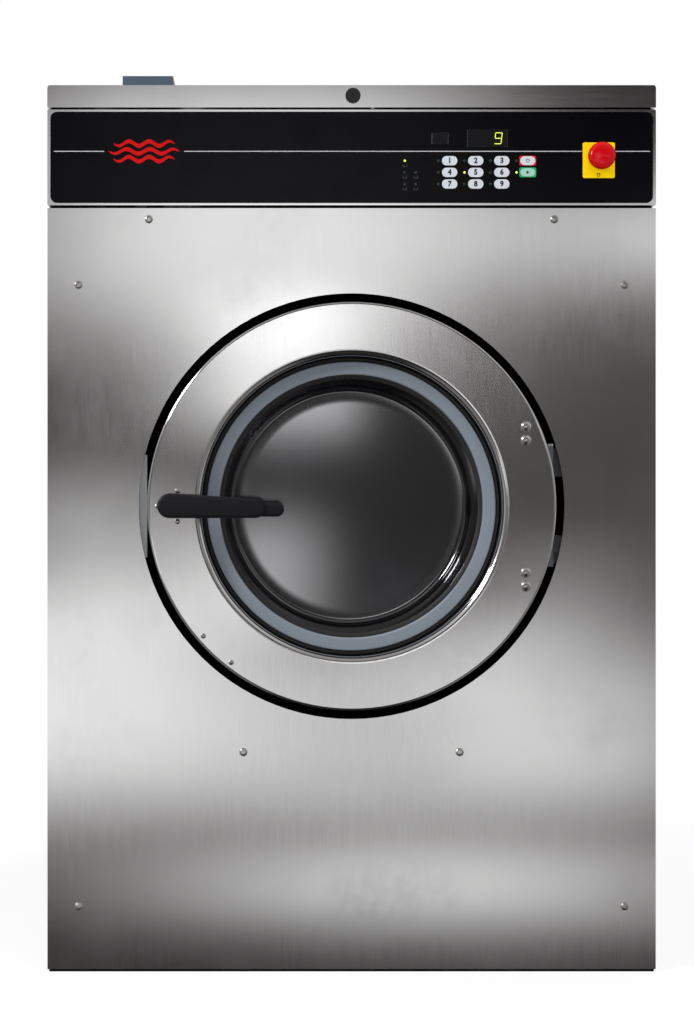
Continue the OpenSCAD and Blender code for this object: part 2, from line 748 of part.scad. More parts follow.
module dispenser_box() color("slategray") {
  cup_l = (disp_l - (disp_cups + 1) * disp_t) / disp_cups;
  floor_z = top_z - disp_drop;
  difference() {
    union() {
      block([disp_x - disp_w / 2, disp_y, floor_z], [disp_x + disp_w / 2, disp_y + disp_l, disp_top]);
      block([disp_x - disp_w / 2 - 6, disp_y - 6, top_z],
        [disp_x + disp_w / 2 + 6, disp_y + disp_l + 6, top_z + 3]);
      rod_z(supply_at, floor_z - 30, floor_z, supply_r - 3);
      rod_y([disp_x, inlet_z], disp_y + disp_l, disp_y + disp_l + 18, spigot_r);
      for (s = [-1, 1]) disp_lug(s);
    }
    for (i = [0 : disp_cups - 1])
      block([disp_x - disp_w / 2 + disp_t, disp_y + disp_t + i * (cup_l + disp_t), floor_z + 20],
        [disp_x + disp_w / 2 - disp_t, disp_y + (i + 1) * (cup_l + disp_t), disp_top + cut]);
    block([disp_x - 15, disp_y + disp_t, floor_z + disp_t],
      [disp_x + 15, disp_y + disp_l - disp_t, floor_z + 17]);
    for (i = [0 : disp_cups - 1])
      rod_z([disp_x, disp_y + disp_t + i * (cup_l + disp_t) + cup_l / 2], floor_z + 10, floor_z + 21, 5);
    rod_z(supply_at, floor_z - 30 - cut, floor_z + 5, supply_r - 6);
    translate([disp_x - 60, disp_axis[0], disp_axis[1]]) rotate([0, 90, 0])
      cylinder(r = lid_pin_r + running, h = 120);
  }
}

module disp_lug(s) {
  x0 = disp_x + s * (disp_knuckle + seam + 6) - 6;
  translate([x0, disp_axis[0], disp_axis[1]]) rotate([0, 90, 0]) cylinder(r = 3.5, h = 12);
  block([x0, disp_y + disp_l - disp_t, disp_axis[1] - 3.5], [x0 + 12, disp_axis[0], disp_axis[1]]);
}

// A cap with its front and side skirts, and its hinge knuckle and pin at the rear
module dispenser_lid() color("slategray") {
  w = disp_w / 2 + 3.5;
  y0 = disp_y - 3.5;
  y1 = disp_y + disp_l + 0.5;
  z1 = top_z + disp_rise;
  block([disp_x - w, y0, z1 - disp_lid_t], [disp_x + w, y1, z1]);
  for (s = [-1, 1])
    block([disp_x + s * (w - 1.25) - 1.25, y0, z1 - 30], [disp_x + s * (w - 1.25) + 1.25, y1 - 8, z1]);
  block([disp_x - w, y0, z1 - 30], [disp_x + w, y0 + 2.5, z1]);
  block([disp_x - disp_knuckle, y1 - cut, z1 - disp_lid_t], [disp_x + disp_knuckle, disp_axis[0], z1 - 0.6]);
  translate([disp_x - disp_knuckle, disp_axis[0], disp_axis[1]]) rotate([0, 90, 0])
    cylinder(r = 3.5, h = 2 * disp_knuckle);
  translate([disp_x - disp_knuckle - 12, disp_axis[0], disp_axis[1]]) rotate([0, 90, 0])
    cylinder(r = lid_pin_r, h = 2 * disp_knuckle + 24);
}

// The outer drum with its back, its drain neck and its pipe spigots
module tub_shell() color("lightgray") difference() {
  union() {
    rod_y([0, door_z], tub_y0, tub_y1, tub_r + tub_t);
    rod_y([0, door_z], tub_y0, tub_y0 + 5, tub_r + tub_rim);
    rod_z(drain_at, valve_top, door_z - tub_r + 20, drain_r);
    rod_z(vent_at, door_z + tub_r - 40, spigot_z(vent_at[0], vent_r) + 30, vent_r - 3);
    rod_z(supply_at, door_z + 200, spigot_z(disp_x, -supply_r) + 40, supply_r - 3);
    for (i = [1, 2]) rod_z([inlet_x[i], inlet_drop_y[i]], door_z + tub_r - 40,
      spigot_z(inlet_x[i], hose_r) + 30, spigot_r);
  }
  rod_y([0, door_z], tub_y0 - cut, tub_y1 - tub_back_t, tub_r);
  rod_y([0, door_z], tub_y1 - 2 * tub_back_t, tub_y1 + cut, 50);
  rod_z(drain_at, valve_top - cut, door_z - tub_r + 30, drain_r - 4);
  rod_z(vent_at, door_z + tub_r - 50, door_z + tub_r + 80, vent_r - 5);
}

module tub_front() color("lightgray") {
  hoop(neck_r, tub_r + tub_rim, tub_setback - tub_t, tub_setback);
  hoop(neck_r, neck_r + tub_t, ring_flange + 11, tub_setback);
}

module door_seal() color("dimgray") {
  hoop(neck_r - 22, neck_r + 6, ring_flange + ring_t + seam, ring_flange + 10.7);
  hoop(neck_r - 12, neck_r, ring_flange + 10.7, ring_flange + 38);
}

module bearing_housing() color("dimgray") difference() {
  union() {
    rod_y([0, door_z], tub_y1, carrier_y, housing_flange_r);
    rod_y([0, door_z], carrier_y - 1, housing_end, carrier_r);
  }
  rod_y([0, door_z], tub_y1 - cut, bearing_1[0], seal_r);
  rod_y([0, door_z], bearing_1[0] - cut, bearing_1[0] + bearing_1[1], bearing_1[2]);
  rod_y([0, door_z], bearing_1[0], housing_end + cut, 50);
  rod_y([0, door_z], bearing_2[0], housing_end + cut, bearing_2[2]);
}

module shaft_bearings() color("silver") {
  hoop(shaft_r + running, seal_r, tub_y1 - yf + 1, bearing_1[0] - yf);
  hoop(shaft_r + running, bearing_1[2], bearing_1[0] - yf, bearing_1[0] + bearing_1[1] - yf);
  hoop(tail_r + running, bearing_2[2], bearing_2[0] - yf, bearing_2[0] + bearing_2[1] - yf);
}

module basket_shaft() color("silver") {
  rod_y([0, door_z], basket_y1, basket_y1 + flange_t, shaft_flange_r);
  rod_y([0, door_z], basket_y1, bearing_2[0] - 15, shaft_r);
  rod_y([0, door_z], bearing_2[0] - 16, pulley_y + pulley_w + shaft_end, tail_r);
  rod_y([0, door_z], pulley_y + pulley_w, pulley_y + pulley_w + 14, 42, 6);
}

module grooved_rim(at, r) difference() {
  rod_y(at, pulley_y, pulley_y + pulley_w, r);
  for (i = [0 : belt_n - 1]) difference() {
    rod_y(at, belt_y(i) - 0.3, belt_y(i) + belt_w + 0.3, r + cut);
    rod_y(at, belt_y(i) - cut, belt_y(i) + belt_w + cut, r - belt_t - belt_play);
  }
}

function belt_y(i) = pulley_y + 1.5 + belt_pitch * (i + 0.5) - belt_w / 2;

module basket_pulley() color("dimgray") difference() {
  union() {
    difference() {
      grooved_rim([0, door_z], pulley_r);
      rod_y([0, door_z], pulley_y - cut, pulley_y + 14, pulley_r - 25);
      rod_y([0, door_z], pulley_y + 26, pulley_y + pulley_w + cut, pulley_r - 25);
    }
    rod_y([0, door_z], pulley_y, pulley_y + pulley_w, 62);
  }
  rod_y([0, door_z], pulley_y - cut, pulley_y + pulley_w + cut, tail_r);
  for (i = [0 : 4]) rod_y([0, door_z] + polar((62 + pulley_r - 25) / 2, 90 + 72 * i),
    pulley_y, pulley_y + pulley_w, 42);
}

module motor_pulley() color("dimgray") {
  grooved_rim([motor_x, motor_z], motor_pulley_r);
  rod_y([motor_x, motor_z], motor_y[1] - rotor_reach, pulley_y + pulley_w + 4, motor_shaft_r);
}

module motor() color("steelblue") difference() {
  union() {
    rod_y([motor_x, motor_z], motor_y[0], motor_y[1], motor_r);
    for (y = beam_y) block([motor_x - 80, y + 32, base_h], [motor_x + 80, y + 56, base_h + 14]);
    block([motor_x + motor_r - 15, motor_y[0] + 20, motor_z - 30],
      [motor_x + motor_r + 35, motor_y[0] + 95, motor_z + 40]);
  }
  rod_y([motor_x, motor_z], motor_y[1] - rotor_reach - 5, motor_y[1] + cut, motor_shaft_r + running);
}

// A belt runs over both pulleys: its outline is two arcs joined by the common tangents
function belt_loop(grow) = let (
    a = [0, door_z], b = [motor_x, motor_z],
    ra = pulley_r - belt_t - belt_play + grow, rb = motor_pulley_r - belt_t - belt_play + grow,
    t = atan2(b[1] - a[1], b[0] - a[0]), s = acos((ra - rb) / norm(b - a)))
  concat(arc(a, ra, t + s, t + 360 - s, 72), arc(b, rb, t - s, t + s, 24));

module drive_belts() color("black") for (i = [0 : belt_n - 1])
  slab(belt_y(i), belt_y(i) + belt_w) difference() {
    polygon(belt_loop(belt_t + 0.3));
    polygon(belt_loop(0.45));
  }

module drain_valve() color("dimgray") difference() {
  union() {
    rod_z(drain_at, drain_z - 48, valve_top, drain_r + 12);
    rod_y([drain_at[0], drain_z], drain_at[1], yr + cut, drain_r - tail_step);
    rod_y([drain_at[0], drain_z], yr, yr + drain_stub, drain_r);
    block([drain_at[0] - drain_r - 62, drain_at[1] - 30, drain_z - 30],
      [drain_at[0] - drain_r - 2, drain_at[1] + 30, drain_z + 40]);
  }
  rod_z(drain_at, drain_z, valve_top + cut, drain_r - 4);
  rod_y([drain_at[0], drain_z], drain_at[1], yr + drain_stub + cut, drain_r - 4);
}

module water_valves() color("tan") for (x = inlet_x) difference() {
  union() {
    block([x - 18, yr - sheet - 52, inlet_z - 20], [x + 18, yr - sheet, inlet_z + 20]);
    rod_y([x, inlet_z], yr - sheet - 1, yr + inlet_stub, inlet_r);
    rod_y([x, inlet_z], yr - sheet - 72, yr - sheet - 50, spigot_r);
    rod_z([x, yr - sheet - 26], inlet_z, inlet_z + 50, 14);
  }
  rod_y([x, inlet_z], yr - 4, yr + inlet_stub + cut, inlet_r - 3);
}

// A quarter bend in the plane of its two legs, from +X round to +Y, before it is turned into place
module bend(r, bore, bend_r) rotate_extrude(angle = 90) translate([bend_r, 0]) difference() {
  circle(r);
  circle(bore);
}

module tube_y(at, y0, y1, r, bore) difference() {
  rod_y(at, y0, y1, r);
  rod_y(at, y0 - cut, y1 + cut, bore);
}

module tube_z(at, z0, z1, r, bore) difference() {
  rod_z(at, z0, z1, r);
  rod_z(at, z0 - cut, z1 + cut, bore);
}

module fill_hoses() color("dimgray") {
  y1 = yr - sheet - 55;
  ya = disp_y + disp_l + hose_run;
  tube_y([inlet_x[0], inlet_z], ya + hose_elbow, y1, hose_r, hose_bore);
  translate([inlet_x[0] - hose_elbow, ya + hose_elbow, inlet_z]) rotate([0, 0, -90])
    bend(hose_r, hose_bore, hose_elbow);
  translate([disp_x + hose_elbow, ya, inlet_z]) rotate([0, 90, 0]) difference() {
    cylinder(r = hose_r, h = inlet_x[0] - disp_x - 2 * hose_elbow);
    translate([0, 0, -cut]) cylinder(r = hose_bore, h = inlet_x[0] - disp_x);
  }
  translate([disp_x + hose_elbow, ya - hose_elbow, inlet_z]) rotate([0, 0, 90])
    bend(hose_r, hose_bore, hose_elbow);
  tube_y([disp_x, inlet_z], disp_y + disp_l + 3, ya - hose_elbow, hose_r, hose_bore);
  for (i = [1, 2]) {
    tube_y([inlet_x[i], inlet_z], inlet_drop_y[i] + hose_elbow, y1, hose_r, hose_bore);
    translate([inlet_x[i], inlet_drop_y[i] + hose_elbow, inlet_z - hose_elbow]) rotate([90, 0, -90])
      bend(hose_r, hose_bore, hose_elbow);
    tube_z([inlet_x[i], inlet_drop_y[i]], spigot_z(inlet_x[i], -hose_r) + 3, inlet_z - hose_elbow,
      hose_r, hose_bore);
  }
  tube_z(supply_at, spigot_z(disp_x, -supply_r) + 5, top_z - disp_drop - 3, supply_r, supply_r - 3);
}

module vent_pipe() color("dimgray") {
  r = vent_r - tail_step;
  tube_z(vent_at, spigot_z(vent_at[0], -vent_r) + 3, vent_z - elbow_r, r, vent_r - 3);
  translate([vent_at[0], vent_at[1] + elbow_r, vent_z - elbow_r]) rotate([90, 0, -90])
    bend(r, vent_r - 3, elbow_r);
  tube_y([vent_at[0], vent_z], vent_at[1] + elbow_r, yr, r, vent_r - 3);
  tube_y([vent_at[0], vent_z], yr, yr + vent_stub, vent_r, vent_r - 3);
}

module electrical_box() color("silver") difference() {
  union() {
    block([box_at[0], yr, box_at[2]], [box_at[1], yr + box_d, box_at[3]]);
    rod_z([(box_at[0] + box_at[1]) / 2, yr + box_d / 2], box_at[2] - conduit_boss, box_at[2] + cut, 19);
  }
  block([box_at[0] + 2, yr - cut, box_at[2] + 2], [box_at[1] - 2, yr + box_d - 2, box_at[3] - 2]);
  rod_z([(box_at[0] + box_at[1]) / 2, yr + box_d / 2], box_at[2] - conduit_boss - cut, box_at[2] + 3,
    conduit_r);
}

module at_handle() translate([-handle_x, 0, door_z]) children();

// The strike that the latch hook turns behind
module door_catch() color("gainsboro") {
  x0 = catch_x - catch_w;
  z0 = door_z - catch_half;
  z1 = door_z + catch_half;
  block([x0, yf + catch_depth, z0], [catch_x, yf + catch_depth + catch_t, z1]);
  block([x0, yf + catch_depth, z0], [x0 + catch_t, frame_y, z1]);
  block([latch_post_x + 3, frame_y - 3.3, z0], [x0 + catch_t, frame_y, z1]);
}

module hinge_brackets() color("slategray") translate([0, 0, door_z]) for (m = [0, 1])
  mirror([0, 0, m]) difference() {
    union() {
      slab(yf + bracket_depth, frame_y) translate([0, (bracket_z[0] + bracket_z[1]) / 2])
        polygon([[hinge_x - 8, -23], [hinge_x + 53, -12], [hinge_x + 53, 12], [hinge_x - 8, 23]]);
      block([hinge_x - 8, yf + bracket_depth, bracket_z[0] + 1],
        [hinge_post_x - 2, frame_y + 25, bracket_z[1] - 9]);
      block([hinge_x - knuckle_r, yf + hinge_depth, bracket_z[0]],
        [hinge_x + 2.5, yf + bracket_depth + 1, bracket_z[1]]);
      rod_z([hinge_x, yf + hinge_depth], bracket_z[0], bracket_z[1], knuckle_r);
      for (x = [hinge_x + 12, hinge_x + 41])
        rod_y([x, (bracket_z[0] + bracket_z[1]) / 2], yf + bracket_depth - 3, yf + bracket_depth + 1, 4);
    }
    rod_z([hinge_x, yf + hinge_depth], bracket_z[0] - cut, bracket_z[1] + cut, hinge_pin_r);
  }

module hinge_pin() color("silver") translate([0, 0, door_z]) {
  rod_z([hinge_x, yf + hinge_depth], -bracket_z[1], bracket_z[1] + 3, hinge_pin_r);
  rod_z([hinge_x, yf + hinge_depth], bracket_z[1], bracket_z[1] + 3, knuckle_r);
}

// Half section of the door ring: rolled rim, flat face, rounded mouth, wall and gasket flange
function ring_section() = let (
    c0 = [ring_r - ring_roll, ring_face + ring_roll],
    c1 = [ring_open_r + ring_fillet, ring_face + ring_fillet])
  concat([[ring_r, ring_lip]], arc(c0, ring_roll, 0, -90, 5), arc(c1, ring_fillet, -90, -180),
    [[ring_open_r, ring_flange], [gasket_r + 9, ring_flange], [gasket_r + 9, ring_flange + ring_t],
     [ring_open_r + ring_t, ring_flange + ring_t]],
    arc(c1, ring_fillet - ring_t, -180, -90), arc(c0, ring_roll - ring_t, -90, 0, 5),
    [[ring_r - ring_t, ring_lip]]);

module door_ring() color("silver") difference() {
  at_door() rotate_extrude() polygon(ring_section());
  block([plate_x + 20, yf + ring_back, door_z - lip_gap],
    [ring_r + cut, yf + ring_lip + cut, door_z + lip_gap]);
  for (z = [hinge_bolt[1], hinge_bolt[2]], s = [-1, 1])
    rod_y([hinge_bolt[0], door_z + s * z], yf + ring_face - cut, yf + ring_back + cut, hinge_bolt_r);
  at_handle() rod_y([0, 0], yf + ring_face - cut, yf + ring_back + cut, latch_r + play);
  at_handle() for (s = latch_screws)
    rod_y(s, yf + ring_face - cut, yf + ring_back + cut, small_screw_r);
  for (s = stay_screws) rod_y(s + [0, door_z], yf + ring_face - cut, yf + ring_back + cut, small_screw_r);
}

// Half section of the glass bowl: rim, tapered wall, rounded corner and a bottom that is slightly domed
function bowl_outline(inset, corner) = let (
    r0 = gasket_r - 0.5 - inset, r1 = gasket_r - 6 - inset, d1 = bowl_depth - inset)
  concat([[r0, glass_front + glass_t]], arc([r1 - corner, d1 - corner], corner, 0, 90, 6),
    [for (i = [1 : 6]) let (r = (r1 - corner) * (1 - i / 6)) [r, d1 + 5 * (1 - pow(r / (r1 - corner), 2))]]);

function reversed(v) = [for (i = [len(v) - 1 : -1 : 0]) v[i]];

module door_glass() color("slategray", 0.5) at_door() rotate_extrude()
  polygon(concat([[glass_rim_r, glass_front], [glass_rim_r, glass_front + glass_t]],
    bowl_outline(0, 16), reversed(bowl_outline(glass_t, 10)),
    [[gasket_r - 0.5 - glass_t, glass_front]]));

// A soft ring with rounded front edges, one slot for the glass and one for the door ring's flange
module glass_gasket() color("lightslategray") at_door() rotate_extrude() difference() {
  union() {
    translate([gasket_r, gasket_front + gasket_edge])
      square([gasket_w, gasket_back - gasket_front - gasket_edge]);
    translate([gasket_r + gasket_edge, gasket_front])
      square([gasket_w - 2 * gasket_edge, 2 * gasket_edge]);
    for (r = [gasket_r + gasket_edge, gasket_r + gasket_w - gasket_edge])
      translate([r, gasket_front + gasket_edge]) circle(gasket_edge);
  }
  translate([gasket_r - cut, glass_front]) square([glass_rim_r - gasket_r + cut, glass_t]);
  translate([gasket_r + 9, ring_flange]) square([gasket_w, ring_t]);
}

module hinge_arm() color("dimgray") difference() {
  union() {
    block([plate_x, yf + ring_back, door_z - 126], [plate_x + 30, yf + ring_back + plate_t, door_z + 126]);
    block([plate_x, yf + ring_back, door_z - hinge_half],
      [hinge_x, yf + ring_back + plate_t, door_z + hinge_half]);
    rod_z([hinge_x, yf + hinge_depth], door_z - hinge_half, door_z + hinge_half, knuckle_r);
  }
  rod_z([hinge_x, yf + hinge_depth], door_z - hinge_half - cut, door_z + hinge_half + cut,
    hinge_pin_r + running);
  for (z = [hinge_bolt[1], hinge_bolt[2]], s = [-1, 1])
    rod_y([hinge_bolt[0], door_z + s * z], yf + ring_face, yf + ring_back + plate_t + cut, hinge_bolt_r);
}

module latch_housing() color("dimgray") at_handle() difference() {
  union() {
    block([-36, yf + ring_back, -30], [23, yf + ring_back + 4, 30]);
    rod_y([0, 0], yf + ring_back, yf + hook_depth - seam, latch_r + 6);
  }
  rod_y([0, 0], yf + ring_back - cut, yf + hook_depth, latch_r + running);
  for (s = latch_screws) rod_y(s, yf + ring_back - cut, yf + ring_back + 4 + cut, small_screw_r);
}

module door_screws() color("silver") {
  for (z = [hinge_bolt[1], hinge_bolt[2]], s = [-1, 1]) {
    rod_y([hinge_bolt[0], door_z + s * z], yf + ring_face, yf + ring_back + plate_t, hinge_bolt_r);
    rod_y([hinge_bolt[0], door_z + s * z], yf + ring_face - 2, yf + ring_face, 8);
    intersection() {
      rod_y([hinge_bolt[0], door_z + s * z], yf + ring_face - 6, yf + ring_face - 1, 8);
      translate([hinge_bolt[0], yf + ring_face + 5, door_z + s * z]) sphere(r = 10.6);
    }
  }
  at_handle() for (s = latch_screws) small_screw(s, ring_back + 4);
  translate([0, 0, door_z]) for (s = stay_screws) {
    small_screw(s, ring_back + 4);
    rod_y(s, yf + ring_back, yf + ring_back + 4, 5);
  }
}

module small_screw(at, end) {
  rod_y(at, yf + ring_face - 2, yf + ring_face, 4);
  rod_y(at, yf + ring_face - 1, yf + end, small_screw_r);
}

// A bar that tapers from its hub, with a thinner tip
module door_handle() color("black") at_handle() difference() {
  union() {
    rod_y([0, 0], yf + ring_face - seam - 14, yf + ring_face - seam, 16);
    hull() {
      handle_disc(-10, 1, 18, -50, -24);
      handle_disc(handle_l - 14.3, -2.6, 14.3, -48, -26);
    }
    hull() {
      handle_disc(60, -4.3, 10.7, -44, -28);
      handle_disc(handle_tip_l - 10.7, -4.3, 10.7, -44, -28);
    }
  }
  rod_y([0, 0], yf + shaft_front, yf + ring_face, latch_r);
}

module handle_disc(x, z, r, d0, d1) {
  rod_y([x, z], yf + d0, yf + d1, r - 3, 32);
  rod_y([x, z], yf + d0 + 3, yf + d1 - 3, r, 32);
}

module latch_shaft() color("silver") at_handle() {
  rod_y([0, 0], yf + shaft_front, yf + hook_depth + hook_t, latch_r);
  rod_y([0, 0], yf + hook_depth, yf + hook_depth + hook_t, latch_r + 6);
  block([-hook_reach, yf + hook_depth, -10], [0, yf + hook_depth + hook_t, 10]);
}

// The drum: a holed shell, a front ring with a rolled lip and a flat back
module basket_shell() color("silver") difference() {
  union() {
    hoop(basket_r - basket_t, basket_r, basket_y0 - yf, basket_y1 - yf);
    hoop(mouth_r, basket_r, basket_y0 - yf, basket_y0 - yf + 3);
    hoop(mouth_r, mouth_r + 4, basket_y0 - yf, basket_y0 - yf + 10);
    rod_y([0, door_z], basket_y1 - basket_back_t, basket_y1, basket_r);
  }
  for (i = [0 : perf_rows - 1], k = [0 : perf_n - 1])
    translate([0, basket_y0 + (i + 1) * basket_l / (perf_rows + 1), door_z])
      rotate([0, (k + (i % 2) / 2) * 360 / perf_n, 0])
        translate([0, 0, basket_r - basket_t - 4]) cylinder(r = perf_d / 2, h = basket_t + 8);
}

module basket_ribs() color("silver") for (i = [0 : rib_n - 1])
  translate([0, 0, door_z]) rotate([0, i * 360 / rib_n, 0]) intersection() {
    slab(basket_y0 + 3, basket_y1 - basket_back_t) difference() {
      rib_outline(0);
      rib_outline(rib_t);
    }
    rod_y([0, 0], basket_y0, basket_y1, basket_r - basket_t);
  }

// A rib is folded from sheet and stands on the shell with its open side
module rib_outline(inset) {
  r = basket_r - basket_t;
  polygon([[48 - inset, r + 5], [14 - inset, r - rib_h + 6 + inset / 2], [8 - inset / 2, r - rib_h + inset],
    [inset / 2 - 8, r - rib_h + inset], [inset - 14, r - rib_h + 6 + inset / 2], [inset - 48, r + 5]]);
}

base_frame();
rear_frame();
front_frame();
front_panel();
side_panels();
rear_panel();
top_panel();
control_fascia();
control_overlay();
display_window();
control_board();
estop_plate();
estop_housing();
estop_stem();
estop_button();
dispenser_box();
dispenser_lid();
service_lid();
lid_lock_body();
lid_lock_plug();
tub_shell();
tub_front();
door_seal();
bearing_housing();
shaft_bearings();
motor();
drive_belts();
drain_valve();
water_valves();
fill_hoses();
vent_pipe();
electrical_box();
door_catch();
hinge_brackets();
hinge_pin();
panel_screws();
door_ring();
door_glass();
glass_gasket();
hinge_arm();
latch_housing();
door_screws();
door_handle();
latch_shaft();
basket_shell();
basket_ribs();
basket_shaft();
basket_pulley();
motor_pulley();
number_key(1);  // key_1
number_key(2);  // key_2
number_key(3);  // key_3
number_key(4);  // key_4
number_key(5);  // key_5
number_key(6);  // key_6
number_key(7);  // key_7
number_key(8);  // key_8
number_key(9);  // key_9
stop_key();
start_key();
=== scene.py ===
"""Looks of a front-loading washer-extractor, laid out as an add-on and run as a script."""

import math

import bpy
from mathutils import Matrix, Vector


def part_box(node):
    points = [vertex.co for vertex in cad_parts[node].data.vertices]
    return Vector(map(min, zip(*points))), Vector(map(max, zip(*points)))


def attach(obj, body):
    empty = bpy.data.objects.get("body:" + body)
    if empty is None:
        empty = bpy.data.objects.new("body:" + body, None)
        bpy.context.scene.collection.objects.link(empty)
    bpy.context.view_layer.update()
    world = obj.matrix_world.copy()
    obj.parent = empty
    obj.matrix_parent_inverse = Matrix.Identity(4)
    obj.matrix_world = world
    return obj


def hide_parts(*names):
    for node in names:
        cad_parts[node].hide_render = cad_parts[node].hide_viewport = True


bl_info = {
    "name": "Front-Loading Washer-Extractor",
    "version": (1, 0, 0),
    "blender": (4, 5, 0),
    "location": "3D View > Sidebar > Washer",
    "description": "Finishes and fine parts for a hard-mount front-loading washer-extractor",
    "category": "Object",
}

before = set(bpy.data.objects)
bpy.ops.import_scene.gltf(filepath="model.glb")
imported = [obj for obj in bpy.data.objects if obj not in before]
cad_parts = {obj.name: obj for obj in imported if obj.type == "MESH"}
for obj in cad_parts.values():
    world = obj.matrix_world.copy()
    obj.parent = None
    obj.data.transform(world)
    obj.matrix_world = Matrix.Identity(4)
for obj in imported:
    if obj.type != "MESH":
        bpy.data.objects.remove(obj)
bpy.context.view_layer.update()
MM = 0.001


def box_of(node):
    low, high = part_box(node)
    return Vector(low), Vector(high)


def front_of(node):
    """The middle of a node across and up, and the place of its front."""
    low, high = box_of(node)
    return (low.x + high.x) / 2, (low.z + high.z) / 2, low.y


PANEL_Y = front_of("front_panel")[2]
OVERLAY_Y = front_of("control_overlay")[2]
DOOR_Z, RING_Y = front_of("door_ring")[1:]
RING_MOUTH = 222 * MM
HANDLE_X = -257 * MM

# The left column of keys, the rows of lamps, and the columns of status lamps with the rows they hold
FASCIA_Z = box_of("control_fascia")[0].z
KEY_X = front_of("key_1")[0]
ROW_Z = FASCIA_Z + 31.4 * MM
ROW_STEP = 17.2 * MM
STATUS_COLUMNS = ((KEY_X - 66.2 * MM, (0, 1, 2)), (KEY_X - 49.9 * MM, (0, 1)))
KEY_LAMP = 16.6 * MM
SIDE_LAMP = 99 * MM

# The camera, how far the machine's front is from it, and the middle of the view
CAMERA_X = -120 * MM
CAMERA_Z = 715 * MM
CAMERA_AWAY = 2.5
LENS = 59.4
SENSOR = 36
VIEW_X = -6.8 * MM
VIEW_Z = 680.4 * MM

SIDE_GLOW = 0.35
OBLIQUE_GLOW = 0.2
REAR_GLOW = 0.6
TOP_GLOW = 0.35

SOFT_BOX_SOCKETS = ("Left", "Right", "Low", "High", "Side", "Rim", "Power")
# Left, right, low and high edges, side and rim softness, and power, in slopes seen from the door
SOFT_BOXES = (
    (-0.335, 0.63, -0.24, 0.165, 0.34, 0.045, 0.04),
    (-0.5, -0.02, -0.185, -0.07, 0.115, 0.075, 1.2),
    (-0.13, 0.11, 0.105, 0.24, 0.14, 0.08, 1.2),
    (0.11, 0.13, -0.27, -0.145, 0.345, 0.04, 0.54),
    (-0.03, 0.05, 0.035, 0.115, 0.03, 0.03, 2.1),
    (0.16, 0.475, 0.13, 0.174, 0.275, 0.065, 1.36),
    (-0.035, 0.025, -0.085, -0.02, 0.05, 0.04, 1.6),
    (0.1, 0.24, -0.185, -0.1, 0.02, 0.06, 0.94),
    (-0.005, 0.075, -0.195, -0.105, 0.135, 0.04, 0.84),
    (-0.04, 0.215, -0.255, -0.215, 0.285, 0.02, 1.02),
    (-0.14, -0.075, -0.085, 0.005, 0.045, 0.04, 0.82),
    (0.095, 0.18, -0.1, -0.07, 0.05, 0.03, 0.48),
    (0.06, 0.14, -0.13, -0.085, 0.05, 0.03, 0.46),
    (0.15, 0.19, -0.09, -0.035, 0.045, 0.04, 0.52),
)


# Sizes and colours


def length_setting(name, description, millimetres):
    return bpy.props.FloatProperty(
        name=name, description=description, default=millimetres * MM, unit="LENGTH")


def colour_setting(name, description, default):
    return bpy.props.FloatVectorProperty(
        name=name, description=description, subtype="COLOR", default=default)


class WasherSizes(bpy.types.PropertyGroup):
    digit_height: length_setting("Digit Height", "Height of the digits on the number keys", 8.0)
    line_width: length_setting("Line Width", "Width of the pale line across the overlay", 1.3)
    print_depth: length_setting("Print Depth", "How far printed marks stand on their surface", 0.12)
    segment_width: length_setting("Segment Width", "Width of a lit segment of the display", 1.1)
    lamp_radius: length_setting("Lamp Radius", "Radius of a lamp's lens", 1.7)
    button_head: length_setting("Button Head", "Radius of the panel screws' heads", 6.0)
    bolt_dome: length_setting("Bolt Dome", "Radius of the hinge bolts' domes", 8.0)
    handle_round: length_setting("Handle Rounding", "Radius of the handle's long edges", 5.5)
    clamp_band: length_setting("Clamp Band", "Width of a hose clamp's band", 12.0)


class WasherColours(bpy.types.PropertyGroup):
    steel: colour_setting("Steel", "Stainless sheet", (0.66, 0.655, 0.655))
    zinc: colour_setting("Zinc", "Galvanised sheet", (0.5, 0.52, 0.54))
    # Near black, darker than the frame's own paint, so the frame and tub front seen in the gap round the door
    # show black. In that gap this colour is painted shade.
    frame_paint: colour_setting("Frame Paint and Painted Gap Shade", "Paint on the frame", (0.0045, 0.0045, 0.0055))
    overlay: colour_setting("Overlay", "Gloss film on the fascia", (0.0012, 0.0012, 0.002))
    key: colour_setting("Keys", "Number keys", (0.56, 0.59, 0.64))
    stop_red: colour_setting("Stop Red", "Emergency stop and stop key", (0.5, 0.001, 0.004))
    start_green: colour_setting("Start Green", "Start key", (0.01, 0.32, 0.11))
    yellow: colour_setting("Plate Yellow", "Plate behind the emergency stop", (1.0, 0.66, 0.0))
    lit: colour_setting("Lit Segments", "Colour of lit segments and lamps", (0.5, 0.56, 0.05))
    gasket: colour_setting("Gasket", "Rubber ring around the glass", (0.2, 0.232, 0.272))
    dispenser: colour_setting("Dispenser", "Moulded supply dispenser", (0.06, 0.085, 0.125))
    handle: colour_setting("Handle", "Coating of the latch handle", (0.006, 0.006, 0.008))


def sizes():
    return bpy.context.scene.washer_sizes


def colours():
    return bpy.context.scene.washer_colours


# Node trees


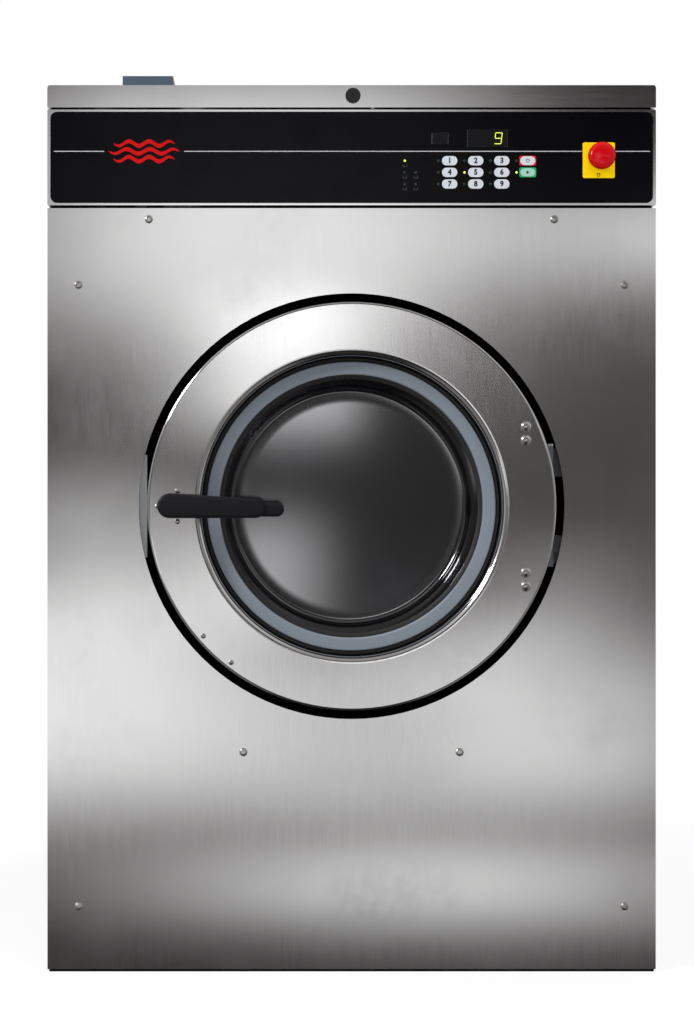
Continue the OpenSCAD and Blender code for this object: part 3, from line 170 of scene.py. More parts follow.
class Tree:
    """Adds nodes to a node tree and links them."""

    def __init__(self, tree):
        self.tree = tree
        self.count = 0

    def add(self, kind, sockets=None, **settings):
        node = self.tree.nodes.new(kind)
        node.location = (200 * (self.count % 10), -240 * (self.count // 10))
        self.count += 1
        for name, value in settings.items():
            setattr(node, name, value)
        self.fill(node, sockets or {})
        return node

    def fill(self, node, sockets):
        for name, value in sockets.items():
            if isinstance(value, bpy.types.NodeSocket):
                self.tree.links.new(value, node.inputs[name])
            else:
                node.inputs[name].default_value = value

    def math(self, operation, a, b=0.0, clamp=False):
        return self.add("ShaderNodeMath", {0: a, 1: b}, operation=operation, use_clamp=clamp).outputs[0]

    def plus(self, a, b, clamp=False):
        return self.math("ADD", a, b, clamp)

    def times(self, a, b, clamp=False):
        return self.math("MULTIPLY", a, b, clamp)

    def vector(self, operation, a, b):
        return self.add("ShaderNodeVectorMath", {0: a, 1: b}, operation=operation).outputs[0]

    def xyz(self, vector):
        return self.add("ShaderNodeSeparateXYZ", {0: vector}).outputs

    def spread(self, value, low, high, to_low=0.0, to_high=1.0, smooth=False):
        return self.add(
            "ShaderNodeMapRange",
            {"Value": value, "From Min": low, "From Max": high, "To Min": to_low, "To Max": to_high},
            interpolation_type="SMOOTHSTEP" if smooth else "LINEAR").outputs["Result"]

    def noise(self, vector, scale, detail=3.0, roughness=0.5):
        return self.add(
            "ShaderNodeTexNoise",
            {"Vector": vector, "Scale": scale, "Detail": detail, "Roughness": roughness}).outputs["Fac"]

    def mix(self, factor, a, b):
        return self.add("ShaderNodeMix", {0: factor, 6: a, 7: b}, data_type="RGBA").outputs[2]

    def group(self, name, **sockets):
        return self.add("ShaderNodeGroup", sockets, node_tree=bpy.data.node_groups[name]).outputs


def start_group(name, inputs, outputs):
    """Makes a node group, and gives its tree, its inputs and its output node.

    A number makes a number socket, and a tuple or None a vector socket. All outputs are numbers.
    """
    group = bpy.data.node_groups.new(name, "ShaderNodeTree")
    for label, default in inputs.items():
        kind = "NodeSocketFloat" if isinstance(default, float) else "NodeSocketVector"
        socket = group.interface.new_socket(name=label, in_out="INPUT", socket_type=kind)
        if default is not None:
            socket.default_value = default
    for label in outputs:
        group.interface.new_socket(name=label, in_out="OUTPUT", socket_type="NodeSocketFloat")
    tree = Tree(group)
    return tree, tree.add("NodeGroupInput").outputs, tree.add("NodeGroupOutput")


def make_brushed_grain():
    """Streaks along one direction, for brushed sheet."""
    tree, given, out = start_group(
        "Brushed Grain", {"Coordinates": None, "Stretch": (1, 1, 1), "Density": 900.0}, ("Streak", "Height"))
    along = tree.vector("MULTIPLY", given["Coordinates"], given["Stretch"])
    fine = tree.noise(along, given["Density"], 4.0, 0.7)
    wide = tree.noise(along, tree.times(given["Density"], 0.12), 2.0)
    both = tree.plus(tree.times(fine, 0.82), tree.times(wide, 0.18))
    tree.fill(out, {"Streak": tree.spread(both, 0.3, 0.7), "Height": fine})


def make_smudges():
    """Soft patches where hands and cloths have been, from 0 to 1."""
    tree, given, out = start_group("Smudges", {"Coordinates": None, "Size": 0.12, "Amount": 1.0}, ("Mask",))
    scale = tree.math("DIVIDE", 1.0, given["Size"])
    broad = tree.spread(tree.noise(given["Coordinates"], scale, 4.0, 0.55), 0.45, 0.75, smooth=True)
    fine = tree.noise(given["Coordinates"], tree.times(scale, 9.0), 2.0)
    tree.fill(out, {"Mask": tree.times(tree.times(broad, fine), given["Amount"], True)})


def make_dust():
    """Dust that settles on what faces up, from 0 to 1."""
    tree, given, out = start_group("Settled Dust", {"Coordinates": None, "Amount": 0.5}, ("Mask",))
    up = tree.xyz(tree.add("ShaderNodeNewGeometry").outputs["Normal"])[2]
    lying = tree.spread(up, 0.4, 1.0, smooth=True)
    grains = tree.spread(tree.noise(given["Coordinates"], 260.0, 5.0, 0.7), 0.35, 0.75)
    tree.fill(out, {"Mask": tree.times(tree.times(lying, grains), given["Amount"], True)})


def make_pebble():
    """The fine pebbled skin of moulded plastic and rubber."""
    tree, given, out = start_group("Moulded Skin", {"Coordinates": None, "Density": 1400.0}, ("Tone", "Height"))
    fine = tree.noise(given["Coordinates"], given["Density"], 2.0, 0.6)
    broad = tree.noise(given["Coordinates"], 14.0, 3.0)
    tree.fill(out, {"Tone": tree.plus(tree.times(fine, 0.35), tree.times(broad, 0.65)), "Height": fine})


def make_spangle():
    """The crystals of hot-dip galvanised sheet."""
    tree, given, out = start_group("Zinc Spangle", {"Coordinates": None, "Density": 90.0}, ("Crystal", "Edge"))
    drift = tree.add("ShaderNodeTexNoise", {"Vector": given["Coordinates"], "Scale": 40.0}).outputs["Color"]
    shifted = tree.vector("ADD", given["Coordinates"], drift)
    cells = tree.add("ShaderNodeTexVoronoi", {"Vector": shifted, "Scale": given["Density"]}).outputs
    tone = tree.add("ShaderNodeSeparateColor", {0: cells["Color"]}).outputs[0]
    tree.fill(out, {"Crystal": tone, "Edge": cells["Distance"]})


# Materials


def start_material(name):
    """Makes a material, and gives its tree, its Principled BSDF and the object's own coordinates."""
    material = bpy.data.materials.new(name)
    material.use_nodes = True
    tree = Tree(material.node_tree)
    shader = next(n for n in material.node_tree.nodes if n.type == "BSDF_PRINCIPLED")
    return tree, shader, tree.add("ShaderNodeTexCoord").outputs["Object"]


def rgba(colour, factor=1.0):
    return (colour[0] * factor, colour[1] * factor, colour[2] * factor, 1.0)


def add_bump(tree, shader, height, strength, distance):
    bump = tree.add("ShaderNodeBump", {"Height": height, "Strength": strength, "Distance": distance})
    tree.fill(shader, {"Normal": bump.outputs["Normal"]})


def steel_material(name, tint, stretch, roughness, anisotropy=0.0, density=900.0):
    """Brushed sheet whose grain runs where stretch is small."""
    tree, shader, place = start_material(name)
    grain = tree.group("Brushed Grain", Coordinates=place, Stretch=stretch, Density=density)
    marks = tree.group("Smudges", Coordinates=place, Size=0.16, Amount=0.8)["Mask"]
    sheet = tree.mix(grain["Streak"], rgba(tint, 0.95), rgba(tint, 1.05))
    rough = tree.spread(grain["Streak"], 0, 1, roughness - 0.014, roughness + 0.018)
    tree.fill(shader, {
        "Base Color": tree.mix(tree.times(marks, 0.12), sheet, rgba(tint, 0.8)),
        "Roughness": tree.plus(rough, tree.times(marks, 0.06)), "Metallic": 1.0})
    if anisotropy:
        tangent = tree.add("ShaderNodeTangent", direction_type="RADIAL", axis="Z").outputs[0]
        tree.fill(shader, {"Anisotropic": anisotropy, "Tangent": tangent})
    add_bump(tree, shader, grain["Height"], 0.008, 0.02 * MM)


def zinc_material(name, tint):
    """Hot-dip galvanised sheet with dust on what faces up."""
    tree, shader, place = start_material(name)
    spangle = tree.group("Zinc Spangle", Coordinates=place, Density=70.0)
    settled = tree.group("Settled Dust", Coordinates=place, Amount=0.3)["Mask"]
    sheet = tree.mix(spangle["Crystal"], rgba(tint, 0.86), rgba(tint, 1.1))
    tree.fill(shader, {
        "Base Color": tree.mix(settled, sheet, (0.35, 0.34, 0.32, 1)),
        "Roughness": tree.spread(spangle["Crystal"], 0, 1, 0.36, 0.5),
        "Metallic": tree.spread(settled, 0, 1, 0.9, 0.3)})
    add_bump(tree, shader, spangle["Edge"], 0.04, 0.05 * MM)


def plastic_material(name, colour, roughness=0.4, skin=0.05, tone=0.12, dust=0.15, specular=0.5):
    """Moulded plastic, rubber or a thick coating."""
    tree, shader, place = start_material(name)
    pebble = tree.group("Moulded Skin", Coordinates=place, Density=1300.0)
    settled = tree.group("Settled Dust", Coordinates=place, Amount=dust)["Mask"]
    marks = tree.group("Smudges", Coordinates=place, Size=0.05, Amount=0.7)["Mask"]
    body = tree.mix(pebble["Tone"], rgba(colour, 1 - tone), rgba(colour, 1 + tone))
    rough = tree.plus(
        tree.spread(pebble["Tone"], 0, 1, roughness - 0.03, roughness + 0.03), tree.times(marks, 0.15))
    tree.fill(shader, {
        "Base Color": tree.mix(settled, body, (0.3, 0.29, 0.28, 1)),
        "Roughness": tree.plus(rough, tree.times(settled, 0.3), True),
        "Specular IOR Level": specular})
    add_bump(tree, shader, pebble["Height"], skin, 0.1 * MM)


def paint_material(name, colour, roughness, specular=0.5, dust=0.35):
    """Sprayed paint with a slight orange peel and chips down to bare metal."""
    tree, shader, place = start_material(name)
    peel = tree.noise(place, 320.0, 2.0)
    chips = tree.spread(tree.noise(place, 46.0, 6.0, 0.75), 0.7, 0.74)
    settled = tree.group("Settled Dust", Coordinates=place, Amount=dust)["Mask"]
    painted = tree.mix(tree.noise(place, 6.0, 3.0), rgba(colour, 0.85), rgba(colour, 1.2))
    worn = tree.mix(tree.times(chips, 0.5), painted, (0.2, 0.17, 0.15, 1))
    tree.fill(shader, {
        "Base Color": tree.mix(settled, worn, (0.3, 0.29, 0.27, 1)),
        "Roughness": tree.spread(peel, 0.3, 0.7, roughness - 0.05, roughness + 0.1),
        "Specular IOR Level": specular})
    add_bump(tree, shader, peel, 0.15, 0.1 * MM)


def cast_material(name, colour):
    """Rough grey casting with broad stains."""
    tree, shader, place = start_material(name)
    lumps = tree.noise(place, 240.0, 6.0, 0.65)
    stain = tree.noise(place, 9.0, 4.0)
    tree.fill(shader, {
        "Base Color": tree.mix(stain, rgba(colour, 0.7), rgba(colour, 1.3)),
        "Roughness": tree.spread(lumps, 0.3, 0.7, 0.5, 0.75), "Metallic": 0.6})
    add_bump(tree, shader, lumps, 0.4, 0.3 * MM)


def board_material(name):
    """Green circuit board with paler tracks."""
    tree, shader, place = start_material(name)
    weave = tree.add("ShaderNodeTexBrick", {
        "Vector": tree.vector("MULTIPLY", place, (1, 0, 1)), "Scale": 120.0, "Mortar Size": 0.03,
        "Color1": (0.01, 0.12, 0.05, 1), "Color2": (0.012, 0.15, 0.06, 1), "Mortar": (0.06, 0.26, 0.12, 1)})
    tree.fill(shader, {
        "Base Color": weave.outputs["Color"],
        "Roughness": tree.spread(tree.noise(place, 300.0), 0, 1, 0.3, 0.45)})


def overlay_material(name, colour):
    """Gloss film with a faint print grain, smudges and a slight waviness."""
    tree, shader, place = start_material(name)
    marks = tree.group("Smudges", Coordinates=place, Size=0.07, Amount=1.0)["Mask"]
    grain = tree.noise(place, 1800.0, 2.0)
    tree.fill(shader, {
        "Base Color": tree.mix(grain, rgba(colour, 0.8), rgba(colour, 1.3)),
        "Roughness": tree.plus(0.14, tree.times(marks, 0.1)), "Specular IOR Level": 0.1})
    add_bump(tree, shader, tree.noise(place, 18.0, 2.0), 0.03, 1 * MM)


def glass_material(name):
    """Dark glass with a film of soap. The bowl's bottom reflects strongly and its wall little."""
    tree, shader, place = start_material(name)
    film = tree.group("Smudges", Coordinates=place, Size=0.09, Amount=1.0)["Mask"]
    across, _, up = tree.xyz(place)
    squares = [tree.math("POWER", side, 2.0) for side in (across, tree.math("SUBTRACT", up, DOOR_Z))]
    radius = tree.math("POWER", tree.plus(*squares), 0.5)
    tree.fill(shader, {
        "Base Color": tree.mix(film, (0.01, 0.01, 0.013, 1), (0.02, 0.02, 0.026, 1)),
        "Roughness": tree.plus(0.08, tree.times(film, 0.05)),
        "Transmission Weight": 0.8, "IOR": 1.6, "Specular IOR Level": 1.0,
        "Coat Weight": tree.spread(radius, 168 * MM, 182 * MM, 1.0, 0.12),
        "Coat Roughness": 0.08, "Coat IOR": 2.5, "Coat Tint": (0.88, 0.89, 1.0, 1.0)})


def print_material(name, colour):
    """Printed ink with a slightly uneven tone."""
    tree, shader, place = start_material(name)
    grain = tree.noise(place, 900.0, 3.0)
    tree.fill(shader, {
        "Base Color": tree.mix(grain, rgba(colour, 0.85), rgba(colour, 1.08)),
        "Roughness": tree.spread(grain, 0, 1, 0.4, 0.55), "Specular IOR Level": 0.15})


def lamp_material(name, colour, strength):
    """A lamp's lens with an uneven tone, which glows when it is lit."""
    tree, shader, place = start_material(name)
    grain = tree.noise(place, 500.0, 2.0)
    lens = tree.mix(grain, rgba(colour, 0.85), rgba(colour, 1.1))
    tree.fill(shader, {"Base Color": lens, "Roughness": tree.spread(grain, 0, 1, 0.2, 0.35)})
    if strength:
        tree.fill(shader, {"Emission Color": lens, "Emission Strength": strength})


def finish(name):
    return bpy.data.materials[name]


def wear(mesh, name):
    mesh.materials.clear()
    mesh.materials.append(finish(name))


def dress(finishes):
    """Gives each finish to the CAD nodes listed with it."""
    for name, nodes in finishes.items():
        for node in nodes.split():
            wear(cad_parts[node].data, name)
    return {"FINISHED"}


# Modelling


def deselect():
    bpy.ops.object.select_all(action="DESELECT")


def select_all():
    bpy.ops.mesh.select_all(action="SELECT")


def hold(piece):
    """Selects one piece and nothing else."""
    deselect()
    piece.select_set(True)
    bpy.context.view_layer.objects.active = piece


def name_piece(name):
    piece = bpy.context.object
    piece.name = name
    piece.data.name = name
    return piece


def apply_place(piece):
    hold(piece)
    bpy.ops.object.transform_apply(location=True, rotation=True, scale=True)


def edit(piece):
    """Enters edit mode with all vertices selected."""
    hold(piece)
    bpy.ops.object.mode_set(mode="EDIT")
    bpy.ops.mesh.select_mode(type="VERT")
    select_all()


def leave_edit():
    bpy.ops.object.mode_set(mode="OBJECT")


def pick(piece, test):
    """Selects the vertices that pass a test on their place, from edit mode and back to it."""
    bpy.ops.mesh.select_all(action="DESELECT")
    leave_edit()
    for vertex in piece.data.vertices:
        vertex.select = bool(test(vertex.co))
    bpy.ops.object.mode_set(mode="EDIT")


def modify(piece, kind, **settings):
    """Adds a modifier with its settings and applies it."""
    modifier = piece.modifiers.new(kind.title(), kind)
    for name, value in settings.items():
        setattr(modifier, name, value)
    hold(piece)
    bpy.ops.object.modifier_apply(modifier=modifier.name)


def smooth(piece, degrees=40):
    hold(piece)
    bpy.ops.object.shade_smooth_by_angle(angle=math.radians(degrees))
    return piece


def tidy_mesh():
    """Merges doubles, turns the faces outwards and leaves edit mode."""
    select_all()
    bpy.ops.mesh.remove_doubles(threshold=0.002 * MM)
    bpy.ops.mesh.normals_make_consistent(inside=False)
    leave_edit()


def seat(piece, body, material, replaced=()):
    """Gives a finished piece its material and its body, and hides the CAD nodes that it stands for."""
    wear(piece.data, material)
    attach(piece, body)
    if replaced:
        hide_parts(*replaced)


def join(pieces, name):
    deselect()
    for piece in pieces:
        piece.select_set(True)
    bpy.context.view_layer.objects.active = pieces[0]
    bpy.ops.object.join()
    return name_piece(name)


def rings_from(radius, level, steps):
    """Rings for turn_profile, from steps in millimetres off a radius and a place along Y."""
    return [(radius + wide * MM, level + deep * MM) for wide, deep in steps]


def turn_profile(name, x, z, rings, sides=48):
    """Pulls a circle through rings of (radius, place along Y). A radius of 0 closes a pole."""
    deselect()

    def centre(level):
        return Vector((x, level, z))

    start = next(i for i, ring in enumerate(rings) if ring[0] > 0)
    radius, level = rings[start]
    bpy.ops.mesh.primitive_circle_add(
        vertices=sides, radius=radius, location=(x, level, z), rotation=(math.pi / 2, 0, 0))
    piece = name_piece(name)
    apply_place(piece)
    edit(piece)
    if start:
        step = centre(rings[0][1]) - centre(level)
        bpy.ops.mesh.extrude_edges_move(TRANSFORM_OT_translate={"value": step})
        bpy.ops.mesh.merge(type="CENTER")
        pick(piece, lambda co: abs(co.y - level) < 1e-7 and abs((co - centre(level)).length - radius) < 1e-5)
    for wide, deep in rings[start + 1:]:
        bpy.ops.mesh.extrude_edges_move(TRANSFORM_OT_translate={"value": centre(deep) - centre(level)})
        if wide == 0:
            bpy.ops.mesh.merge(type="CENTER")
            break
        grow = wide / radius
        if abs(grow - 1) > 1e-9:
            bpy.ops.transform.resize(value=(grow, 1, grow), center_override=(x, deep, z))
        radius, level = wide, deep
    tidy_mesh()
    return piece


def plate(name, x, z, width, height, y_front, y_back, corner, segments=6):
    """A rounded plate that faces the front."""
    deselect()
    bpy.ops.mesh.primitive_plane_add(size=1, location=(x, y_back, z), rotation=(math.pi / 2, 0, 0))
    piece = name_piece(name)
    piece.scale = (width, height, 1)
    apply_place(piece)
    edit(piece)
    if corner > 0:
        bpy.ops.mesh.bevel(offset=corner, segments=segments, affect="VERTICES")
    select_all()
    bpy.ops.mesh.extrude_region_move(TRANSFORM_OT_translate={"value": (0, y_front - y_back, 0)})
    tidy_mesh()
    return piece


def marking(name, words, x, z, height, y_face, depth, weight=0.0, narrow=1.0):
    """A raised digit or sign from the built-in letters, made a mesh."""
    deselect()
    bpy.ops.object.text_add(location=(x, y_face, z), rotation=(math.pi / 2, 0, 0))
    text = bpy.context.object
    text.data.body = words
    text.data.align_x = "CENTER"
    text.data.align_y = "CENTER"
    text.data.size = height / 0.72
    text.data.offset = weight
    text.data.extrude = depth
    text.data.resolution_u = 4
    bpy.ops.object.convert(target="MESH")
    piece = name_piece(name)
    piece.scale = (narrow, 1, 1)
    apply_place(piece)
    edit(piece)
    bpy.ops.mesh.remove_doubles(threshold=0.001 * MM)
    leave_edit()
    return piece


def torus(name, x, y, z, major, minor, segments):
    """A ring that faces the front, with its radii in millimetres."""
    deselect()
    bpy.ops.mesh.primitive_torus_add(
        location=(x, y, z), rotation=(math.pi / 2, 0, 0), major_radius=major * MM,
        minor_radius=minor * MM, major_segments=segments, minor_segments=6)
    return name_piece(name)


# Operators


class WASHER_OT_groups(bpy.types.Operator):
    """Make the shared effects: grain, smudges, dust, moulded skin and zinc spangle"""

    bl_idname = "washer.groups"
    bl_label = "Shared Effects"

    def execute(self, context):
        make_brushed_grain()
        make_smudges()
        make_dust()
        make_pebble()
        make_spangle()
        return {"FINISHED"}


class WASHER_OT_finishes(bpy.types.Operator):
    """Make every material of the machine"""

    bl_idname = "washer.finishes"
    bl_label = "Finishes"

    def execute(self, context):
        c = colours()
        steel_material("Panel Steel", c.steel, (1, 1, 0.02), 0.12, 0.75)
        steel_material("Lid Steel", c.steel, (0.02, 1, 1), 0.1, 0.75)
        steel_material("Ring Steel", c.steel, (1, 1, 0.03), 0.12, 0.75)
        steel_material("Tub Steel", (0.5, 0.5, 0.5), (1, 0.05, 1), 0.36)
        steel_material("Basket Steel", (0.6, 0.6, 0.61), (1, 0.05, 1), 0.26)
        steel_material("Turned Steel", (0.62, 0.61, 0.6), (1, 1, 1), 0.22, density=400.0)
        zinc_material("Galvanised Sheet", c.zinc)
        # The frame paint's near-black colour and low specular make the gap round the door show black, which is
        # painted shade.
        paint_material("Frame Paint and Painted Gap Shade", c.frame_paint, 0.6, specular=0.04, dust=0.05)
        paint_material("Bracket Paint", (0.055, 0.06, 0.068), 0.5)
        paint_material("Motor Paint", (0.06, 0.1, 0.16), 0.3)
        cast_material("Cast Grey", (0.12, 0.12, 0.125))
        overlay_material("Overlay Film", c.overlay)
        overlay_material("Smoked Window", (0.006, 0.006, 0.007))
        board_material("Circuit Board")
        plastic_material("Key White", c.key, 0.35, 0.02, 0.04, dust=0.0)
        plastic_material("Key Red", c.stop_red, 0.35, 0.02, dust=0.0)
        plastic_material("Key Green", c.start_green, 0.35, 0.02, dust=0.0)
        plastic_material("Key Teal", (0.3, 0.56, 0.46), 0.35, 0.02, dust=0.0)
        plastic_material("Plate Yellow", c.yellow, 0.42, 0.03, 0.05, dust=0.0, specular=0.15)
        plastic_material("Stop Red", c.stop_red, 0.16, 0.01, 0.06, dust=0.0, specular=0.35)
        plastic_material("Stop Housing", (0.02, 0.02, 0.022), 0.4)
        plastic_material("Lock Black", (0.008, 0.008, 0.01), 0.3, 0.02)
        plastic_material("Dispenser Grey", c.dispenser, 0.45, 0.06)
        plastic_material("Gasket Rubber", c.gasket, 0.5, 0.05, 0.08, dust=0.05)
        # Dark rubber of the door seal. The two black rings at the gasket also wear it, and there it is painted
        # shade.
        plastic_material("Seal Rubber and Painted Shade", (0.012, 0.012, 0.013), 0.55, 0.08)
        plastic_material("Handle Coat", c.handle, 0.5, 0.12, 0.15, dust=0.03, specular=0.22)
        plastic_material("Hose Rubber", (0.02, 0.02, 0.022), 0.5, 0.1)
        plastic_material("Belt Rubber", (0.012, 0.012, 0.012), 0.65, 0.15)
        plastic_material("Valve Plastic", (0.05, 0.052, 0.056), 0.45, 0.06)
        glass_material("Bowl Glass")
        print_material("Print Pale", (0.42, 0.43, 0.46))
        print_material("Print Dark", (0.012, 0.012, 0.014))
        print_material("Print Grey", (0.07, 0.07, 0.08))
        print_material("Print Red", (0.5, 0.001, 0.002))
        lamp_material("Lamp Lit", c.lit, 1.3)
        lamp_material("Lamp Glow", (0.6, 0.68, 0.04), 1.3)
        lamp_material("Lamp Dark", (0.012, 0.012, 0.013), 0.0)
        return {"FINISHED"}


class WASHER_OT_dress_cabinet(bpy.types.Operator):
    """Finish the cabinet, its frame and what is fixed in it"""

    bl_idname = "washer.dress_cabinet"
    bl_label = "Cabinet"

    def execute(self, context):
        return dress({
            "Panel Steel": "front_panel", "Lid Steel": "control_fascia service_lid",
            "Galvanised Sheet": "side_panels rear_panel top_panel door_catch electrical_box",
            "Frame Paint and Painted Gap Shade": "base_frame rear_frame front_frame", "Bracket Paint": "hinge_brackets",
            "Turned Steel": "hinge_pin estop_stem", "Lock Black": "lid_lock_body lid_lock_plug",
            "Dispenser Grey": "dispenser_box dispenser_lid", "Overlay Film": "control_overlay",
            "Smoked Window": "display_window", "Circuit Board": "control_board",
            "Plate Yellow": "estop_plate", "Stop Housing": "estop_housing",
            "Key Red": "stop_key", "Key Green": "start_key",
            "Key White": " ".join(f"key_{n}" for n in range(1, 10)),
        })


class WASHER_OT_dress_drum(bpy.types.Operator):
    """Finish the tub, the basket, the drive and the pipes"""

    bl_idname = "washer.dress_drum"
    bl_label = "Drum and Drive"

    def execute(self, context):
        return dress({
            # The tub front wears the near-black frame paint so the gap round the door shows black, which is
            # painted shade.
            "Tub Steel": "tub_shell", "Frame Paint and Painted Gap Shade": "tub_front", "Seal Rubber and Painted Shade": "door_seal",
            "Basket Steel": "basket_shell basket_ribs", "Turned Steel": "basket_shaft shaft_bearings",
            "Cast Grey": "basket_pulley motor_pulley bearing_housing", "Motor Paint": "motor",
            "Belt Rubber": "drive_belts", "Valve Plastic": "drain_valve water_valves",
            "Hose Rubber": "fill_hoses vent_pipe",
        })


class WASHER_OT_dress_door(bpy.types.Operator):
    """Finish the parts of the door that keep their shape"""

    bl_idname = "washer.dress_door"
    bl_label = "Door Finishes"

    def execute(self, context):
        return dress({
            "Ring Steel": "door_ring", "Gasket Rubber": "glass_gasket", "Frame Paint and Painted Gap Shade": "hinge_arm",
            "Cast Grey": "latch_housing", "Turned Steel": "latch_shaft",
        })


class WASHER_OT_bowl(bpy.types.Operator):
    """Draw the glass bowl, from rim to domed bottom, and two black rings at its gasket that are painted shade"""

    bl_idname = "washer.bowl"
    bl_label = "Glass Bowl"

    def bottom_rings(self, bottom, corner, depth, rise):
        """Rings round the corner between wall and bottom, and on to the middle of the bottom."""
        bend = 174 * MM
        turns = [math.radians(90 * i / 8) for i in range(9)]
        rings = [(bend + corner * math.cos(a), bottom - 21 * MM + corner * math.sin(a)) for a in turns]
        parts = [1 - i / 10 for i in range(1, 11)]
        return rings + [(bend * t, bottom - depth + rise * (1 - t * t)) for t in parts]

    def execute(self, context):
        low, high = box_of("door_glass")
        rim_y, rim_r, bottom = low.y, (high.x - low.x) / 2, high.y
        outer = rings_from(rim_r, rim_y, ((0, 0), (0, 6), (-8.5, 6)))
        outer += self.bottom_rings(bottom, 16 * MM, 5 * MM, 5 * MM)
        inner = rings_from(rim_r, rim_y, ((-14.5, 0), (-14.5, 6)))
        inner += self.bottom_rings(bottom, 10 * MM, 11 * MM, 0.0)
        bowl = turn_profile("glass_bowl", 0, DOOR_Z, inner[::-1] + outer, 128)
        seat(smooth(bowl, 32), "door", "Bowl Glass", ("door_glass",))
        # Two black rings are painted shade. One fills the band between the gasket's outer edge and the ring's
        # mouth, and the other lies over the glass rim inside the gasket.
        edge, level = box_of("glass_gasket")[1].x, RING_Y + 27 * MM
        lip = rings_from(edge, level, ((0.05, 1.5), (1.5, 0)))
        lip += rings_from(RING_MOUTH, level, ((-1.8, 0.6), (-0.1, 3), (-0.1, 8)))
        lip += rings_from(edge, level, ((0.05, 8), (0.05, 1.5)))
        inner_shade_ring = rings_from(rim_r, rim_y, ((-14.4, -0.05), (-14.4, -1.6), (-12.9, -3)))
        inner_shade_ring += rings_from(edge, rim_y, ((-19.05, -4), (-19.05, -0.05)))
        inner_shade_ring += inner_shade_ring[:1]
        for name, rings in (("gasket_lip", lip), ("gasket_inner_lip", inner_shade_ring)):
            piece = turn_profile(name, 0, DOOR_Z, rings, 128)
            seat(smooth(piece), "door", "Seal Rubber and Painted Shade")
        return {"FINISHED"}


class WASHER_OT_handle(bpy.types.Operator):
    """Draw the latch handle: hub, tapered bar with rounded edges and a thinner tip"""

    bl_idname = "washer.handle"
    bl_label = "Latch Handle"

    def bar(self, name, start, stop, depths, rounding):
        """A tapered bar, from ends as (across, up, radius) and depths, in millimetres off hub and panel."""
        x, z = HANDLE_X + start[0] * MM, DOOR_Z + start[1] * MM
        front, back = (PANEL_Y + depth * MM for depth in depths)
        taper = stop[2] / start[2]
        deselect()
        bpy.ops.mesh.primitive_circle_add(
            vertices=64, radius=start[2] * MM, fill_type="NGON", location=(x, back, z),
            rotation=(math.pi / 2, 0, 0))
        piece = name_piece(name)
        apply_place(piece)
        edit(piece)
        pick(piece, lambda co: co.x > x + 1e-6)
        bpy.ops.transform.resize(value=(taper, 1, taper), center_override=(x, back, z))
        bpy.ops.transform.translate(value=((stop[0] - start[0]) * MM, 0, (stop[1] - start[1]) * MM))
        select_all()
        bpy.ops.mesh.extrude_region_move(TRANSFORM_OT_translate={"value": (0, front - back, 0)})
        tidy_mesh()
        modify(piece, "BEVEL", width=rounding, segments=5, limit_method="ANGLE", angle_limit=math.radians(60))
        return piece

    def execute(self, context):
        grip = self.bar("door_lever", (-10, 1, 18), (114.7, -2.6, 14.3), (-49.5, -24), sizes().handle_round)
        tip = self.bar("lever_tip", (60, -4.3, 10.6), (146.3, -4.3, 10.6), (-42, -27), 5 * MM)
        hub = turn_profile("lever_hub", HANDLE_X, DOOR_Z, rings_from(0, PANEL_Y, (
            (0, -26), (15.5, -26), (15.5, -13), (16, -12), (16, -11.4), (0, -11.4))), 64)
        lever = join([grip, tip, hub], "door_lever")
        seat(smooth(lever), "latch", "Handle Coat", ("door_handle",))
        return {"FINISHED"}


class WASHER_OT_screws(bpy.types.Operator):
    """Draw the panel's socket screws and the door's domed bolts and small screws"""

    bl_idname = "washer.screws"
    bl_label = "Screws and Bolts"

    def socket_screw(self, x, z, radius, reach):
        head = ((0, 0.22), (0.36, 0.22), (0.38, 0.5), (0.62, 0.5), (0.84, 0.42), (0.96, 0.25), (1, 0.08),
                (1, 0), (0.5, 0))
        rings = [(wide * radius, PANEL_Y - proud * radius) for wide, proud in head]
        rings += [(0.5 * radius, PANEL_Y + reach), (0, PANEL_Y + reach)]
        return turn_profile("screw", x, z, rings, 24)

    def dome_bolt(self, x, z, radius, rise, reach):
        rings = [(0, RING_Y - rise)]
        for i in range(1, 9):
            a = math.radians(i * 90 / 8)
            rings.append((radius * math.sin(a), RING_Y - 0.12 * rise - 0.88 * rise * math.cos(a)))
        rings += [(radius, RING_Y), (0.5 * radius, RING_Y), (0.5 * radius, RING_Y + reach), (0, RING_Y + reach)]
        return turn_profile("bolt", x, z, rings, 32)

    def execute(self, context):
        s = sizes()
        screws = join([
            self.socket_screw(side * x * MM, z * MM, s.button_head, reach * MM)
            for x, z, reach in ((300, 1113.5, 30), (404, 1016.5, 30), (160, 325, 30), (404, 97, 8))
            for side in (-1, 1)], "button_screws")
        seat(smooth(screws), "cabinet", "Turned Steel", ("panel_screws",))
        bolts = [self.dome_bolt(256.3 * MM, DOOR_Z + side * z * MM, s.bolt_dome, 5.6 * MM, 7 * MM)
                 for side in (-1, 1) for z in (97.5, 117.5)]
        bolts += [self.dome_bolt(HANDLE_X + x * MM, DOOR_Z + z * MM, 4 * MM, 2 * MM, 6 * MM)
                  for x, z in ((0, 22.6), (0, -22.6), (-29.4, 0), (38, -191), (79, -230))]
        bolts = join(bolts, "door_bolts")
        seat(smooth(bolts), "door", "Turned Steel", ("door_screws",))
        return {"FINISHED"}


